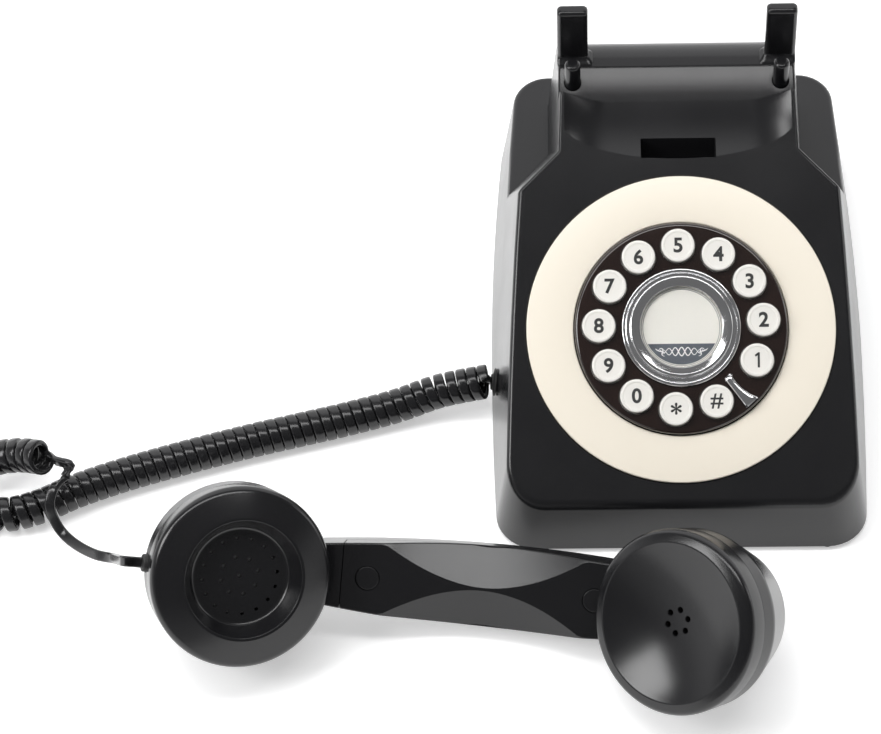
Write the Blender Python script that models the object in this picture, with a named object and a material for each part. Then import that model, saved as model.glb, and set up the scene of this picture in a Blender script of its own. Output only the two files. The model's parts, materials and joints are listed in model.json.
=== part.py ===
"""Desk telephone that records messages: a wedge body with a round keypad, and a handset on a curly cord.

Metres, +Z up. The body's front is at -Y, the table is at z = 0 and the keypad faces up and to the front.
"""

from math import cos, pi, radians, sin, sqrt, tan

import bmesh
import bpy
import numpy as np
from mathutils import Matrix, Vector

MM = 0.001

# Fits shared by the whole assembly
seat_gap = 0.3 * MM
running_gap = 0.35 * MM
cut_overrun = 6.0 * MM
smooth_angle = radians(32)
weld_gap = 0.01 * MM

# Body: plan outline at the base
body_length = 190.0 * MM
body_half_width = 69.7 * MM
widest_place = 90.0 * MM
front_bulge = 2.4 * MM
rear_bulge = 4.6 * MM
front_corner_radius = 15.0 * MM
rear_corner_radius = 13.0 * MM
base_height = 2.4 * MM
side_draft = radians(8.0)
front_draft = radians(4.6)
rear_draft = radians(4.0)
shell_wall = 2.6 * MM

# Body: side profile
crease_height = 27.7 * MM
face_tilt = radians(27.87)
lip_place = 151.2 * MM
lip_land = 1.2 * MM
trough_floor_height = 86.5 * MM
trough_front_slope = 2.2 * MM
bar_crease_depth = 152.0 * MM
bar_crease_height = 93.2 * MM
bar_crease_slope = radians(15.0)
bar_radius = 13.5 * MM
shelf_height = 44.5 * MM
neck_rear_slope = radians(4.0)

# Body: neck between the side shelves
neck_half_width = 43.8 * MM
neck_draft = radians(5.0)
neck_wall = 1.8 * MM
shoulder_inner_place = 130.1 * MM
shoulder_outer_place = 117.3 * MM
shoulder_outer_half_width = 56.7 * MM
shoulder_foot_depth = 128.0 * MM
shoulder_foot_half_width = 64.3 * MM

# Body: rounding of its edges
crease_ease = 2.8 * MM
side_ease_share = 0.6
neck_ease_share = 0.36
sharp_angle = radians(36)

# Body: hand scoop and its square pocket
scoop_half_width = 41.4 * MM
scoop_bow_width = 42.6 * MM
scoop_front_place = 126.8 * MM
scoop_side_rise = 14.5 * MM
horn_inner_half_width = 27.0 * MM
horn_step_width = 4.0 * MM
horn_step = 2.6 * MM
horn_drop = 0.6 * MM
scoop_floor_lift = 0.05 * MM
pocket_half_width = 13.7 * MM
pocket_length = 9.2 * MM
pocket_depth = 10.5 * MM
pocket_slope = 2.5 * MM

# Posts and hook plungers
post_width = 11.3 * MM
post_thickness = 4.8 * MM
post_front_depth = 155.2 * MM
post_top_height = 120.2 * MM
post_root = 8.0 * MM
post_edge_radius = 1.6 * MM
post_flare = 2.0 * MM
post_flare_height = 3.0 * MM
post_foot_run = 2.9 * MM
plunger_radius = 2.9 * MM
plunger_spacing = 76.4 * MM
plunger_depth = 146.6 * MM
plunger_top_height = 102.4 * MM
plunger_dome = 1.2 * MM
plunger_collar_radius = 3.75 * MM
plunger_collar = 1.6 * MM
plunger_travel = 6.0 * MM

# Keypad, in the plane of the face
dial_place = 64.2 * MM
ring_radius = 56.0 * MM
ring_recess = 1.2 * MM
ring_thickness = 1.9 * MM
ring_edge_radius = 0.5 * MM
disc_radius = 38.6 * MM
disc_height = 3.5 * MM
disc_plate = 2.0 * MM
disc_edge_radius = 1.4 * MM
disc_skirt_radius = 37.7 * MM
disc_skirt_wall = 0.9 * MM
disc_catch = 0.7 * MM
button_names = ("1", "2", "3", "4", "5", "6", "7", "8", "9", "0", "star", "hash")
button_circle_radius = 29.8 * MM
button_pitch = radians(29.0)
button_first_angle = radians(-24.4)
button_radius = 6.0 * MM
button_height = 3.0 * MM
button_edge_radius = 0.7 * MM
button_flange = 0.6 * MM
button_flange_thickness = 1.0 * MM
button_stem_radius = 3.0 * MM
button_stem_length = 1.6 * MM
button_travel = 1.5 * MM
mat_thickness = 1.2 * MM
mat_inner_radius = 22.4 * MM
board_thickness = 1.6 * MM
disc_boss_radius = 2.4 * MM
disc_boss_circle = 18.5 * MM
disc_boss_count = 3

# Chrome bezel, label and window
bezel_radius = 21.5 * MM
bezel_height = 3.7 * MM
bezel_flange_height = 1.5 * MM
bezel_flange_width = 1.5 * MM
bezel_groove_width = 1.5 * MM
bezel_groove_height = 0.8 * MM
bezel_crown_width = 1.2 * MM
bezel_opening_radius = 14.9 * MM
bezel_recess_radius = 16.2 * MM
bezel_ledge = 0.8 * MM
label_thickness = 0.4 * MM
window_thickness = 0.9 * MM

# Finger stop
stop_inner_radius = 24.2 * MM
stop_outer_radius = 37.4 * MM
stop_angle = radians(-47.5)
stop_inner_width = 3.0 * MM
stop_outer_width = 5.6 * MM
stop_height = 1.7 * MM
stop_edge_radius = 0.4 * MM
stop_bow = 1.3 * MM

# Hook bar, spring and switch
hook_bar_height = 5.0 * MM
hook_bar_depth = 7.0 * MM
hook_bar_top = 76.0 * MM
hook_bar_half_width = 42.2 * MM
hook_leg_width = 9.0 * MM
hook_leg_depth = 5.0 * MM
hook_foot_height = 29.5 * MM
hook_foot_thickness = 3.0 * MM
hook_foot_reach = 17.5 * MM
hook_spring_radius = 2.9 * MM
hook_spring_wire = 0.35 * MM
hook_spring_turns = 5
hook_switch_size = Vector((12.8 * MM, 5.8 * MM, 6.4 * MM))
hook_switch_offset = 11.0 * MM
hook_switch_button = 1.2 * MM

# Base plate, feet and what it carries
plate_thickness = 2.4 * MM
plate_boss_radius = 5.0 * MM
plate_boss_height = 1.6 * MM
plate_screw_radius = 1.5 * MM
plate_screw_head_radius = 2.8 * MM
plate_screw_head_height = 1.8 * MM
plate_screw_sink = 0.3 * MM
plate_screw_length = 12.0 * MM
plate_screw_half_spacing = 48.0 * MM
plate_screw_inset = 24.0 * MM
shell_boss_radius = 4.2 * MM
foot_radius = 6.0 * MM
foot_inset = Vector((16.6 * MM, 7.2 * MM, 0))
main_board_size = Vector((86.0 * MM, 88.0 * MM, 1.6 * MM))
main_board_rear_gap = 5.5 * MM
main_board_depth = body_length - main_board_rear_gap - main_board_size.y / 2
main_board_standoff = 7.0 * MM
standoff_radius = 3.0 * MM
standoff_inset = 6.0 * MM
battery_radius = 9.2 * MM
battery_length = 66.0 * MM
battery_depth = 52.0 * MM
battery_clearance = 0.6 * MM
battery_cradle_width = 6.0 * MM
battery_cradle_wall = 2.0 * MM
battery_cradle_rise = 1.5 * MM

# Sockets and switch at the back
socket_size = Vector((9.0 * MM, 7.4 * MM, 3.2 * MM))
socket_offset = -22.0 * MM
socket_mouth = Vector((7.6 * MM, 5.5 * MM, 1.9 * MM))
socket_rear_gap = 5.4 * MM
socket_depth = body_length - socket_rear_gap
power_switch_offset = 20.0 * MM
power_body_size = Vector((11.0 * MM, 5.0 * MM, 5.6 * MM))
power_body_rear_gap = 7.4 * MM
power_body_depth = body_length - power_body_rear_gap
power_knob_width = 3.2 * MM
power_knob_height = 2.6 * MM
power_knob_reach = 6.0 * MM
power_travel = 3.0 * MM

# Cord outlet in the left wall
outlet_depth = 65.5 * MM
outlet_height = 15.0 * MM
outlet_radius = 3.6 * MM
outlet_flange_radius = 5.2 * MM
outlet_flange = 1.0 * MM
outlet_collar = 1.6 * MM
outlet_nose_radius = 3.0 * MM
outlet_nose = 1.0 * MM

# Handset: where it lies
handset_mic_place = Vector((-158.0 * MM, -34.2 * MM, 40.9 * MM))
handset_turn = radians(-7.55)
handset_roll = radians(41.5)

# Handset: cups and caps
cup_spacing = 155.3 * MM
mic_lean = radians(21.8)
ear_lean = radians(29.5)
cap_skirt = 6.0 * MM
cap_skirt_taper = 0.5 * MM
cap_wall = 2.2 * MM
mic_cap_radius = 32.8 * MM
mic_shoulder = 3.0 * MM
mic_shoulder_radius = 3.2 * MM
mic_recess_radius = 21.2 * MM
mic_rim_rise = 6.9 * MM
mic_rim_width = 1.0 * MM
mic_floor_radius = 17.6 * MM
mic_floor_depth = 7.0 * MM
mic_floor_fillet = 2.2 * MM
ear_cap_radius = 33.0 * MM
ear_shoulder = 2.9 * MM
ear_shoulder_radius = 2.8 * MM
ear_dish_radius = 28.2 * MM
ear_rim_rise = 4.3 * MM
ear_dish_depth = 5.2 * MM
cap_hole_radius = 1.15 * MM
ear_hole_circle = 4.3 * MM
ear_hole_count = 6
mic_hole_radius = 0.8 * MM
mic_hole_circle = 6.8 * MM
mic_hole_count = 8
hole_turn_share = 0.37
housing_radius = 32.0 * MM
housing_straight = 7.0 * MM
housing_back_radius = 22.0 * MM
housing_depth = 38.0 * MM
housing_back_round = 7.0 * MM
housing_wall = 2.4 * MM
housing_neck = 4.5 * MM
capsule_radius = 14.0 * MM
capsule_thickness = 6.0 * MM
speaker_radius = 20.0 * MM
speaker_rim = 3.0 * MM
speaker_magnet_radius = 9.0 * MM
speaker_thickness = 8.0 * MM

# Handset: handle
handle_mic_depth = 27.5 * MM
handle_middle_depth = 31.5 * MM
handle_ear_depth = 32.0 * MM
handle_thickness = 17.0 * MM
handle_mic_width = 24.0 * MM
handle_middle_width = 29.4 * MM
handle_ear_width = 27.5 * MM
handle_corner_radius = 4.0 * MM
handle_ridge_drop = 3.2 * MM
handle_ridge_share = 0.8
handle_facet_length = 72.0 * MM
handle_facet_place = 6.6 * MM
handle_end_inset = 12.0 * MM
handle_split = 1.4 * MM
handle_wall = 2.2 * MM
handle_room_top = 2.6 * MM
cover_mic_place = -44.0 * MM
cover_ear_place = 52.0 * MM
plug_radius = 4.2 * MM
plug_thickness = 1.4 * MM
plug_mic_place = -34.9 * MM
plug_ear_place = 46.8 * MM
handle_screw_radius = 1.4 * MM
handle_screw_head_radius = 2.6 * MM
handle_screw_head_height = 1.8 * MM
handle_screw_length = 7.5 * MM
handle_boss_radius = 5.6 * MM
weight_size = Vector((44.0 * MM, 15.0 * MM, 4.4 * MM))

# Curly cord and its lead
cord_diameter = 3.3 * MM
curl_diameter = 13.0 * MM
curl_count = 55
curl_points = 8
curl_run_in = 4.0 * MM
curl_run_in_points = 4
route_spacing = 0.5 * MM
lead_spacing = 8.0 * MM
route_steps = 40
inlet_radius = 3.2 * MM
inlet_reach = 1.5 * MM
inlet_collar = 1.2 * MM
inlet_turn = radians(3.0)
inlet_height = -10.0 * MM

for old in list(bpy.data.objects):
    bpy.data.objects.remove(old, do_unlink=True)

scene_collection = bpy.context.scene.collection


# Shape helpers


def material(name, colour, roughness, metallic=0.0, transmission=0.0):
    made = bpy.data.materials.new(name)
    made.use_nodes = True
    made.diffuse_color = (*colour, 1.0)
    shader = made.node_tree.nodes["Principled BSDF"]
    shader.inputs["Base Color"].default_value = (*colour, 1.0)
    shader.inputs["Roughness"].default_value = roughness
    shader.inputs["Metallic"].default_value = metallic
    shader.inputs["Transmission Weight"].default_value = transmission
    return made


def as_object(name, mesh):
    """Turns a bmesh into an object, with its faces pointing outward."""
    bmesh.ops.recalc_face_normals(mesh, faces=mesh.faces)
    data = bpy.data.meshes.new(name)
    mesh.to_mesh(data)
    mesh.free()
    made = bpy.data.objects.new(name, data)
    scene_collection.objects.link(made)
    return made


def put(name, mesh, skin, parent, location=(0, 0, 0), rotation=(0, 0, 0)):
    """Places one named piece, smooth where it is round and sharp at its edges."""
    made = as_object(name, mesh)
    made.data.materials.append(skin)
    made.data.shade_smooth()
    made.data.set_sharp_from_angle(angle=smooth_angle)
    made.parent = parent
    made.location = location
    made.rotation_euler = rotation
    return made


def empty(name, parent, matrix):
    made = bpy.data.objects.new(name, None)
    scene_collection.objects.link(made)
    made.parent = parent
    made.matrix_local = matrix
    return made


def settled(made):
    """The object's shape with its modifiers carried out, as a bmesh whose doubled points are one."""
    bpy.context.view_layer.update()
    seen = made.evaluated_get(bpy.context.evaluated_depsgraph_get())
    result = bmesh.new()
    result.from_mesh(seen.to_mesh())
    seen.to_mesh_clear()
    bmesh.ops.remove_doubles(result, verts=result.verts, dist=weld_gap)
    return result


def dropped(made):
    data = made.data
    bpy.data.objects.remove(made, do_unlink=True)
    bpy.data.meshes.remove(data)


def shaped(base, *steps):
    """The solid left after each (operation, other solid) in turn. The solids given are used up."""
    made = as_object("base", base)
    others = []
    for operation, other in steps:
        step = made.modifiers.new(operation, "BOOLEAN")
        step.operation = operation
        step.solver = "EXACT"
        step.object = as_object("other", other)
        others.append(step.object)
    result = settled(made)
    for helper in (made, *others):
        dropped(helper)
    return result


def cut(base, *others):
    return shaped(base, *[("DIFFERENCE", other) for other in others])


def joined(base, *others):
    return shaped(base, *[("UNION", other) for other in others])


def eased(mesh, width, share_of, segments):
    """Rounds each edge by the width times the share that share_of gives it."""
    layer = mesh.edges.layers.float.new("bevel_weight_edge")
    for edge in mesh.edges:
        edge[layer] = share_of(edge)
    made = as_object("eased", mesh)
    step = made.modifiers.new("Ease", "BEVEL")
    step.limit_method = "WEIGHT"
    step.width = width
    step.segments = segments
    step.use_clamp_overlap = False
    result = settled(made)
    dropped(made)
    return result


def moved(mesh, matrix):
    bmesh.ops.transform(mesh, matrix=matrix, verts=mesh.verts)
    return mesh


def shifted(mesh, x, y, z):
    return moved(mesh, Matrix.Translation((x, y, z)))


def loft(loops):
    """Closed solid through loops that have equally many points, with flat ends."""
    mesh = bmesh.new()
    rows = [[mesh.verts.new(point) for point in loop] for loop in loops]
    for low, high in zip(rows, rows[1:]):
        for here in range(len(low)):
            there = (here + 1) % len(low)
            mesh.faces.new((low[here], low[there], high[there], high[here]))
    mesh.faces.new(rows[0])
    mesh.faces.new(rows[-1])
    return mesh


def prism(outline, half_width):
    """An outline of (y, z) points, drawn out along x to both sides."""
    return loft([[(side * half_width, y, z) for y, z in outline] for side in (-1, 1)])


def box(size, centre=(0, 0, 0), edge=0.0, steps=2):
    mesh = bmesh.new()
    bmesh.ops.create_cube(mesh, size=1)
    bmesh.ops.scale(mesh, verts=mesh.verts, vec=size)
    bmesh.ops.translate(mesh, verts=mesh.verts, vec=centre)
    if edge:
        bmesh.ops.bevel(mesh, geom=mesh.edges[:], offset=edge, segments=steps, profile=0.5, affect="EDGES")
    return mesh


def turned(profile, segments):
    """Solid of an (radius, height) outline turned about z: closed, or open with both ends on the axis."""
    on_axis = profile[0][0] == 0
    mesh = bmesh.new()
    poles = {}
    columns = []
    for turn in range(segments):
        angle = 2 * pi * turn / segments
        column = []
        for number, (radius, height) in enumerate(profile):
            if radius:
                column.append(mesh.verts.new((radius * cos(angle), radius * sin(angle), height)))
                continue
            if number not in poles:
                poles[number] = mesh.verts.new((0, 0, height))
            column.append(poles[number])
        columns.append(column)
    count = len(profile)
    for turn in range(segments):
        left = columns[turn]
        right = columns[(turn + 1) % segments]
        for number in range(count - 1 if on_axis else count):
            nearby = (number + 1) % count
            corners = list(dict.fromkeys([left[number], right[number], right[nearby], left[nearby]]))
            mesh.faces.new(corners)
    return mesh


def rod(radius, bottom, top, segments=20, edge=0.0):
    """A cylinder along z, whose upper edge may be rounded."""
    profile = [(0, bottom), (radius, bottom), (radius, top), (0, top)]
    if edge:
        profile = rounded(profile, [0, 0, edge, 0], 3)
    return turned(profile, segments)


def ring(inner, outer, bottom, top, segments=32):
    return turned([(inner, bottom), (outer, bottom), (outer, top), (inner, top)], segments)


def rounded(outline, radii, steps):
    """Replaces each corner that has a radius by an arc that touches both of its sides."""
    made = []
    count = len(outline)
    for number, (corner, radius) in enumerate(zip(outline, radii)):
        if not radius:
            made.append(tuple(corner))
            continue
        here = Vector(corner)
        before = (Vector(outline[number - 1]) - here).normalized()
        after = (Vector(outline[(number + 1) % count]) - here).normalized()
        half = before.angle(after) / 2
        middle = here + (before + after).normalized() * (radius / sin(half))
        start = here + before * (radius / tan(half)) - middle
        turn = pi - 2 * half
        if before.x * after.y - before.y * after.x > 0:
            turn = -turn
        for step in range(steps + 1):
            angle = turn * step / steps
            x = middle.x + start.x * cos(angle) - start.y * sin(angle)
            y = middle.y + start.x * sin(angle) + start.y * cos(angle)
            made.append((x, y))
    return made


def smooth_step(share):
    held = min(max(share, 0.0), 1.0)
    return held * held * (3 - 2 * held)


black_plastic = material("black_plastic", (0.012, 0.012, 0.013), 0.32)
black_gloss = material("black_gloss", (0.018, 0.014, 0.013), 0.12)
cream_plastic = material("cream_plastic", (0.93, 0.84, 0.68), 0.35)
white_plastic = material("white_plastic", (0.9, 0.9, 0.88), 0.3)
chrome = material("chrome", (0.85, 0.85, 0.86), 0.08, metallic=1.0)
steel = material("steel", (0.55, 0.55, 0.56), 0.3, metallic=1.0)
card = material("card", (0.9, 0.87, 0.8), 0.6)
clear_plastic = material("clear_plastic", (0.95, 0.96, 0.97), 0.05, transmission=1.0)
rubber = material("rubber", (0.02, 0.02, 0.02), 0.7)
silicone = material("silicone", (0.35, 0.35, 0.37), 0.6)
circuit_green = material("circuit_green", (0.03, 0.2, 0.08), 0.5)
battery_wrap = material("battery_wrap", (0.05, 0.15, 0.4), 0.4)
cord_black = material("cord_black", (0.015, 0.015, 0.016), 0.35)

telephone = empty("telephone", None, Matrix())


# Body shell


def side_reach(depth):
    """Half of the base's width at a depth: the sides are bowed."""
    if depth < widest_place:
        share = (widest_place - depth) / widest_place
        return body_half_width - front_bulge * share * share
    share = (depth - widest_place) / (body_length - widest_place)
    return body_half_width - rear_bulge * share * share


def plan_loop(height, inset=0.0, arc_steps=4, side_steps=6):
    """The body's outline at a height: straight ends, bowed sides and round corners, leaning in upward."""
    rise = height - base_height
    lean = rise * tan(side_draft) + inset
    front = rise * tan(front_draft) + inset
    rear = body_length - rise * tan(rear_draft) - inset
    front_radius = front_corner_radius - inset
    rear_radius = rear_corner_radius - inset

    def half_width(depth):
        return side_reach(depth) - lean

    start = front + front_radius
    end = rear - rear_radius
    right = []
    for step in range(arc_steps):
        angle = pi / 2 * step / arc_steps
        right.append((half_width(start) - front_radius * (1 - sin(angle)), start - front_radius * cos(angle)))
    for step in range(side_steps + 1):
        depth = start + (end - start) * step / side_steps
        right.append((half_width(depth), depth))
    for step in range(1, arc_steps + 1):
        angle = pi / 2 * step / arc_steps
        right.append((half_width(end) - rear_radius * (1 - cos(angle)), end + rear_radius * sin(angle)))
    left = [(-x, y) for x, y in reversed(right)]
    return [(x, y, height) for x, y in right + left]


def face_point(place, lift=0.0):
    """(y, z) of a point on the sloped face, at a distance up the slope from the crease."""
    return (
        crease_depth + place * cos(face_tilt) - lift * sin(face_tilt),
        crease_height + place * sin(face_tilt) + lift * cos(face_tilt),
    )


crease_depth = (crease_height - base_height) * tan(front_draft)
lip_depth, lip_height = face_point(lip_place)
lip_rear_depth = lip_depth + lip_land
scoop_front_depth = face_point(scoop_front_place)[0]
trough_front_depth = lip_rear_depth + trough_front_slope
bar_middle_depth = bar_crease_depth + bar_radius * sin(bar_crease_slope)
bar_middle_height = bar_crease_height - bar_radius * cos(bar_crease_slope)
neck_rear_depth = bar_middle_depth + bar_radius * cos(neck_rear_slope)
form_top = post_top_height + cut_overrun
plate_top = base_height + plate_thickness
under_roof = trough_floor_height - shell_wall


def seat_height(depth):
    """Height of the handle's seat: level at the scoop's front edge and rising to the bar's crease."""
    share = max(0.0, depth - scoop_front_depth) / (bar_crease_depth - scoop_front_depth)
    return trough_floor_height + (bar_crease_height - trough_floor_height) * share**2


def side_profile():
    """Outline of the body seen from the side: crease, face, lip, seat, rounded bar, neck and rear deck."""
    near = -cut_overrun
    far = body_length + cut_overrun
    outline = [
        (near, near),
        (near, crease_height + (near - crease_depth) * tan(face_tilt)),
        (lip_depth, lip_height),
        (lip_rear_depth, lip_height),
    ]
    seat_steps = 4
    for step in range(seat_steps):
        depth = trough_front_depth + (bar_crease_depth - trough_front_depth) * step / seat_steps
        outline.append((depth, seat_height(depth)))
    bar_steps = 8
    first = pi / 2 + bar_crease_slope
    for step in range(bar_steps + 1):
        angle = first + (neck_rear_slope - first) * step / bar_steps
        spot = (bar_middle_depth + bar_radius * cos(angle), bar_middle_height + bar_radius * sin(angle))
        outline.append(spot)
    neck_foot_depth = neck_rear_depth + (bar_middle_height - shelf_height) * tan(neck_rear_slope)
    return outline + [(neck_foot_depth, shelf_height), (far, shelf_height), (far, near)]


def inner_profile():
    """Outline of the hollow seen from the side: a wall below the face, the pocket, the trough and the deck."""
    near = -cut_overrun
    far = body_length + cut_overrun
    pocket_roof = trough_floor_height - pocket_depth - shell_wall
    deck_roof = shelf_height - shell_wall
    start_depth, start_height = face_point(0, -shell_wall)
    pocket_rear = scoop_front_depth + pocket_length + shell_wall
    neck_rear = neck_rear_depth - shell_wall
    return [
        (near, near),
        (near, start_height + (near - start_depth) * tan(face_tilt)),
        (start_depth + (pocket_roof - start_height) / tan(face_tilt), pocket_roof),
        (pocket_rear, pocket_roof),
        (pocket_rear, under_roof),
        (neck_rear, under_roof),
        (neck_rear, deck_roof),
        (far, deck_roof),
        (far, near),
    ]


def flank(side, spread=0.0):
    """What is taken off beside the neck, down to the shelf where a cup hangs: a box trimmed by two planes."""
    inner = Vector((neck_half_width, *face_point(shoulder_inner_place)))
    outer = Vector((shoulder_outer_half_width, *face_point(shoulder_outer_place)))
    foot = Vector((shoulder_foot_half_width, shoulder_foot_depth, shelf_height))
    front_normal = (outer - inner).cross(foot - inner).normalized()
    if front_normal.y < 0:
        front_normal = -front_normal
    neck_normal = Vector((cos(neck_draft), 0, sin(neck_draft)))
    reach = body_half_width + cut_overrun
    near = outer.y - 2 * cut_overrun
    far = body_length + 2 * cut_overrun
    bottom = shelf_height - spread
    top = form_top + cut_overrun
    mesh = box((reach, far - near, top - bottom), (reach / 2, (near + far) / 2, (bottom + top) / 2))
    for normal in (neck_normal, front_normal):
        bmesh.ops.bisect_plane(
            mesh,
            geom=mesh.verts[:] + mesh.edges[:] + mesh.faces[:],
            plane_co=inner - normal * spread,
            plane_no=normal,
            clear_inner=True,
        )
        bmesh.ops.holes_fill(mesh, edges=[edge for edge in mesh.edges if edge.is_boundary])
    bmesh.ops.scale(mesh, verts=mesh.verts, vec=(side, 1, 1))
    return mesh


def edge_share(edge):
    """The crease is rounded most, the sides less and the neck's top least; inner corners stay sharp."""
    if len(edge.link_faces) != 2 or not edge.is_convex or edge.calc_face_angle() < sharp_angle:
        return 0.0
    middle = (edge.verts[0].co + edge.verts[1].co) / 2
    if middle.z < base_height + seat_gap:
        return 0.0
    if middle.z > shelf_height + seat_gap and abs(middle.x) < neck_half_width + post_width and middle.y > lip_depth / 2:
        if middle.z > face_point(shoulder_outer_place)[1] or middle.y > lip_depth:
            return neck_ease_share
    return 1 + (side_ease_share - 1) * smooth_step(middle.y / front_corner_radius)


def horn_rise(x):
    """How far the scoop's floor rises above the seat at the lip: nothing in the middle, a step, then a slope."""
    away = max(0.0, abs(x) - horn_inner_half_width)
    whole = lip_height - horn_drop - seat_height(lip_rear_depth)
    sloped = (whole - horn_step) * away / (scoop_half_width - horn_inner_half_width)
    return horn_step * smooth_step(away / horn_step_width) + sloped


def scoop():
    """The hand scoop: a floor that runs on into the seat in the middle and climbs to a horn at each side."""
    stations = 15
    depth_steps = 3
    top = lip_height + cut_overrun
    loops = []
    for station in range(stations):
        x = scoop_half_width * sin(pi / 2 * (2 * station / (stations - 1) - 1))
        bow = 1 - sqrt(1 - (x / scoop_bow_width) ** 2)
        edge_depth = face_point(scoop_front_place + scoop_side_rise * bow)[0]
        rise = horn_rise(x)
        loop = [(x, edge_depth, top)]
        for step in range(depth_steps + 1):
            depth = edge_depth + (lip_rear_depth - edge_depth) * step / depth_steps
            share = (depth - scoop_front_depth) / (lip_rear_depth - scoop_front_depth)
            loop.append((x, depth, seat_height(depth) + rise * share + scoop_floor_lift))
        rear_height = seat_height(trough_front_depth) + rise + scoop_floor_lift
        loops.append(loop + [(x, trough_front_depth, rear_height), (x, trough_front_depth, top)])
    return loft(loops)


def pocket():
    """The square pocket in the scoop's front edge, whose rear wall leans forward at its foot."""
    front = scoop_front_depth + seat_gap
    rear = front + pocket_length
    floor = trough_floor_height - pocket_depth
    outline = [
        (front, floor),
        (rear - pocket_slope, floor),
        (rear, trough_floor_height),
        (rear, lip_height),
        (front, lip_height),
    ]
    return prism(outline, pocket_half_width)


def block_loop(x_low, x_high, y_low, y_high, height, radius):
    """A rectangle with round corners at a height, counted the same way at every height."""
    outline = [(x_low, y_low), (x_high, y_low), (x_high, y_high), (x_low, y_high)]
    return [(x, y, height) for x, y in rounded(outline, [radius] * 4, 2)]


def post(side):
    """A post of the cradle: its foot runs forward and inward onto the seat, and its top is rounded."""
    outer = neck_half_width
    inner = neck_half_width - post_width
    rear = post_front_depth + post_thickness
    foot = bar_crease_height
    loops = []
    foot_steps = 3
    for step in range(foot_steps + 1):
        height = foot - post_root if step == 0 else foot + post_flare_height * (step - 1) / (foot_steps - 1)
        away = (1 - smooth_step(max(0.0, (height - foot) / post_flare_height))) ** 2
        near = post_front_depth - post_foot_run * away
        loops.append(block_loop(inner - post_flare * away, outer, near, rear, height, post_edge_radius))
    for angle in (0, radians(45), radians(85)):
        inset = post_edge_radius * (1 - cos(angle))
        height = post_top_height - post_edge_radius * (1 - sin(angle))
        radius = post_edge_radius - inset / 2
        near = post_front_depth + inset
        loops.append(block_loop(inner + inset, outer - inset, near, rear - inset, height, radius))
    return moved(loft(loops), Matrix.Scale(side, 4, (1, 0, 0)))


def corner_places(half_spacing, front, rear):
    return [(side * half_spacing, depth) for depth in (front, rear) for side in (-1, 1)]


screw_places = corner_places(plate_screw_half_spacing, plate_screw_inset, body_length - plate_screw_inset)
foot_places = corner_places(body_half_width - foot_inset.x, foot_inset.y, body_length - foot_inset.y - front_bulge)
plunger_places = [(side * plunger_spacing / 2, plunger_depth) for side in (-1, 1)]
face_matrix = Matrix.Translation((0, *face_point(dial_place))) @ Matrix.Rotation(face_tilt, 4, "X")
boss_bottom = plate_top + plate_boss_height + seat_gap
board_top = plate_top + main_board_standoff + seat_gap + main_board_size.z
socket_height = board_top + seat_gap + socket_size.z / 2
switch_height = board_top + seat_gap + power_body_size.z / 2


outlet_way = Vector((-cos(side_draft), 0, sin(side_draft)))
outlet_reach = side_reach(outlet_depth) - (outlet_height - base_height) * tan(side_draft)
outlet_matrix = (
    Matrix.Translation((-outlet_reach, outlet_depth, outlet_height)) @ outlet_way.to_track_quat("Z", "X").to_matrix().to_4x4()
)


def body_shell():
    form = shaped(
        loft([plan_loop(base_height), plan_loop(form_top)]),
        ("INTERSECT", prism(side_profile(), body_half_width + cut_overrun)),
        ("DIFFERENCE", flank(-1)),
        ("DIFFERENCE", flank(1)),
    )
    bmesh.ops.remove_doubles(form, verts=form.verts, dist=seat_gap)
    bmesh.ops.dissolve_limit(form, angle_limit=radians(1), verts=form.verts, edges=form.edges)
    form = eased(form, crease_ease, edge_share, 2)
    form = joined(cut(form, scoop(), pocket()), post(1), post(-1))
    room = shaped(
        loft([plan_loop(-cut_overrun, shell_wall, 2, 3), plan_loop(form_top, shell_wall, 2, 3)]),
        ("INTERSECT", prism(inner_profile(), body_half_width)),
        ("DIFFERENCE", flank(-1, neck_wall)),
        ("DIFFERENCE", flank(1, neck_wall)),
        *[("DIFFERENCE", shifted(rod(shell_boss_radius, boss_bottom, form_top, 8), x, y, 0)) for x, y in screw_places],
    )
    form = cut(form, room)
    openings = [
        shifted(rod(plate_screw_radius + running_gap, base_height, boss_bottom + plate_screw_length, 8), x, y, 0)
        for x, y in screw_places
    ]
    openings += [
        shifted(rod(plunger_radius + running_gap, under_roof - cut_overrun, lip_height, 10), x, y, 0)
        for x, y in plunger_places
    ]
    top = cut_overrun
    openings.append(moved(rod(ring_radius + seat_gap, -ring_recess, top, 36), face_matrix))
    openings.append(moved(rod(disc_skirt_radius + running_gap, -2 * cut_overrun, top, 28), face_matrix))
    openings.append(moved(rod(outlet_radius + seat_gap, -2 * cut_overrun, 2 * cut_overrun, 8), outlet_matrix))
    slots = (
        (socket_offset, socket_height, socket_size.x, socket_size.z),
        (power_switch_offset, switch_height, power_knob_width + power_travel, power_knob_height),
    )
    for offset, height, width, tall in slots:
        size = (width + 2 * running_gap, 2 * cut_overrun, tall + 2 * running_gap)
        openings.append(box(size, (offset, body_length, height)))
    return cut(form, *openings)


put("body_shell", body_shell(), black_plastic, telephone)


# Keypad, ring and label, in the frame of the face: z is the face's outward direction and y runs up the slope

face = empty("face_frame", telephone, face_matrix)
button_places = [
    (button_circle_radius * cos(angle), button_circle_radius * sin(angle))
    for angle in (button_first_angle + number * button_pitch for number in range(len(button_names)))
]
plate_bottom = disc_height - disc_plate
flange_bottom = plate_bottom - seat_gap - button_flange_thickness
stem_bottom = flange_bottom - button_stem_length
mat_top = stem_bottom - button_travel - seat_gap
board_face = mat_top - mat_thickness - seat_gap
board_rear = board_face - board_thickness
disc_boss_places = [
    (disc_boss_circle * cos(angle), disc_boss_circle * sin(angle))
    for angle in (2 * pi * number / disc_boss_count + pi / 2 for number in range(disc_boss_count))
]

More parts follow.
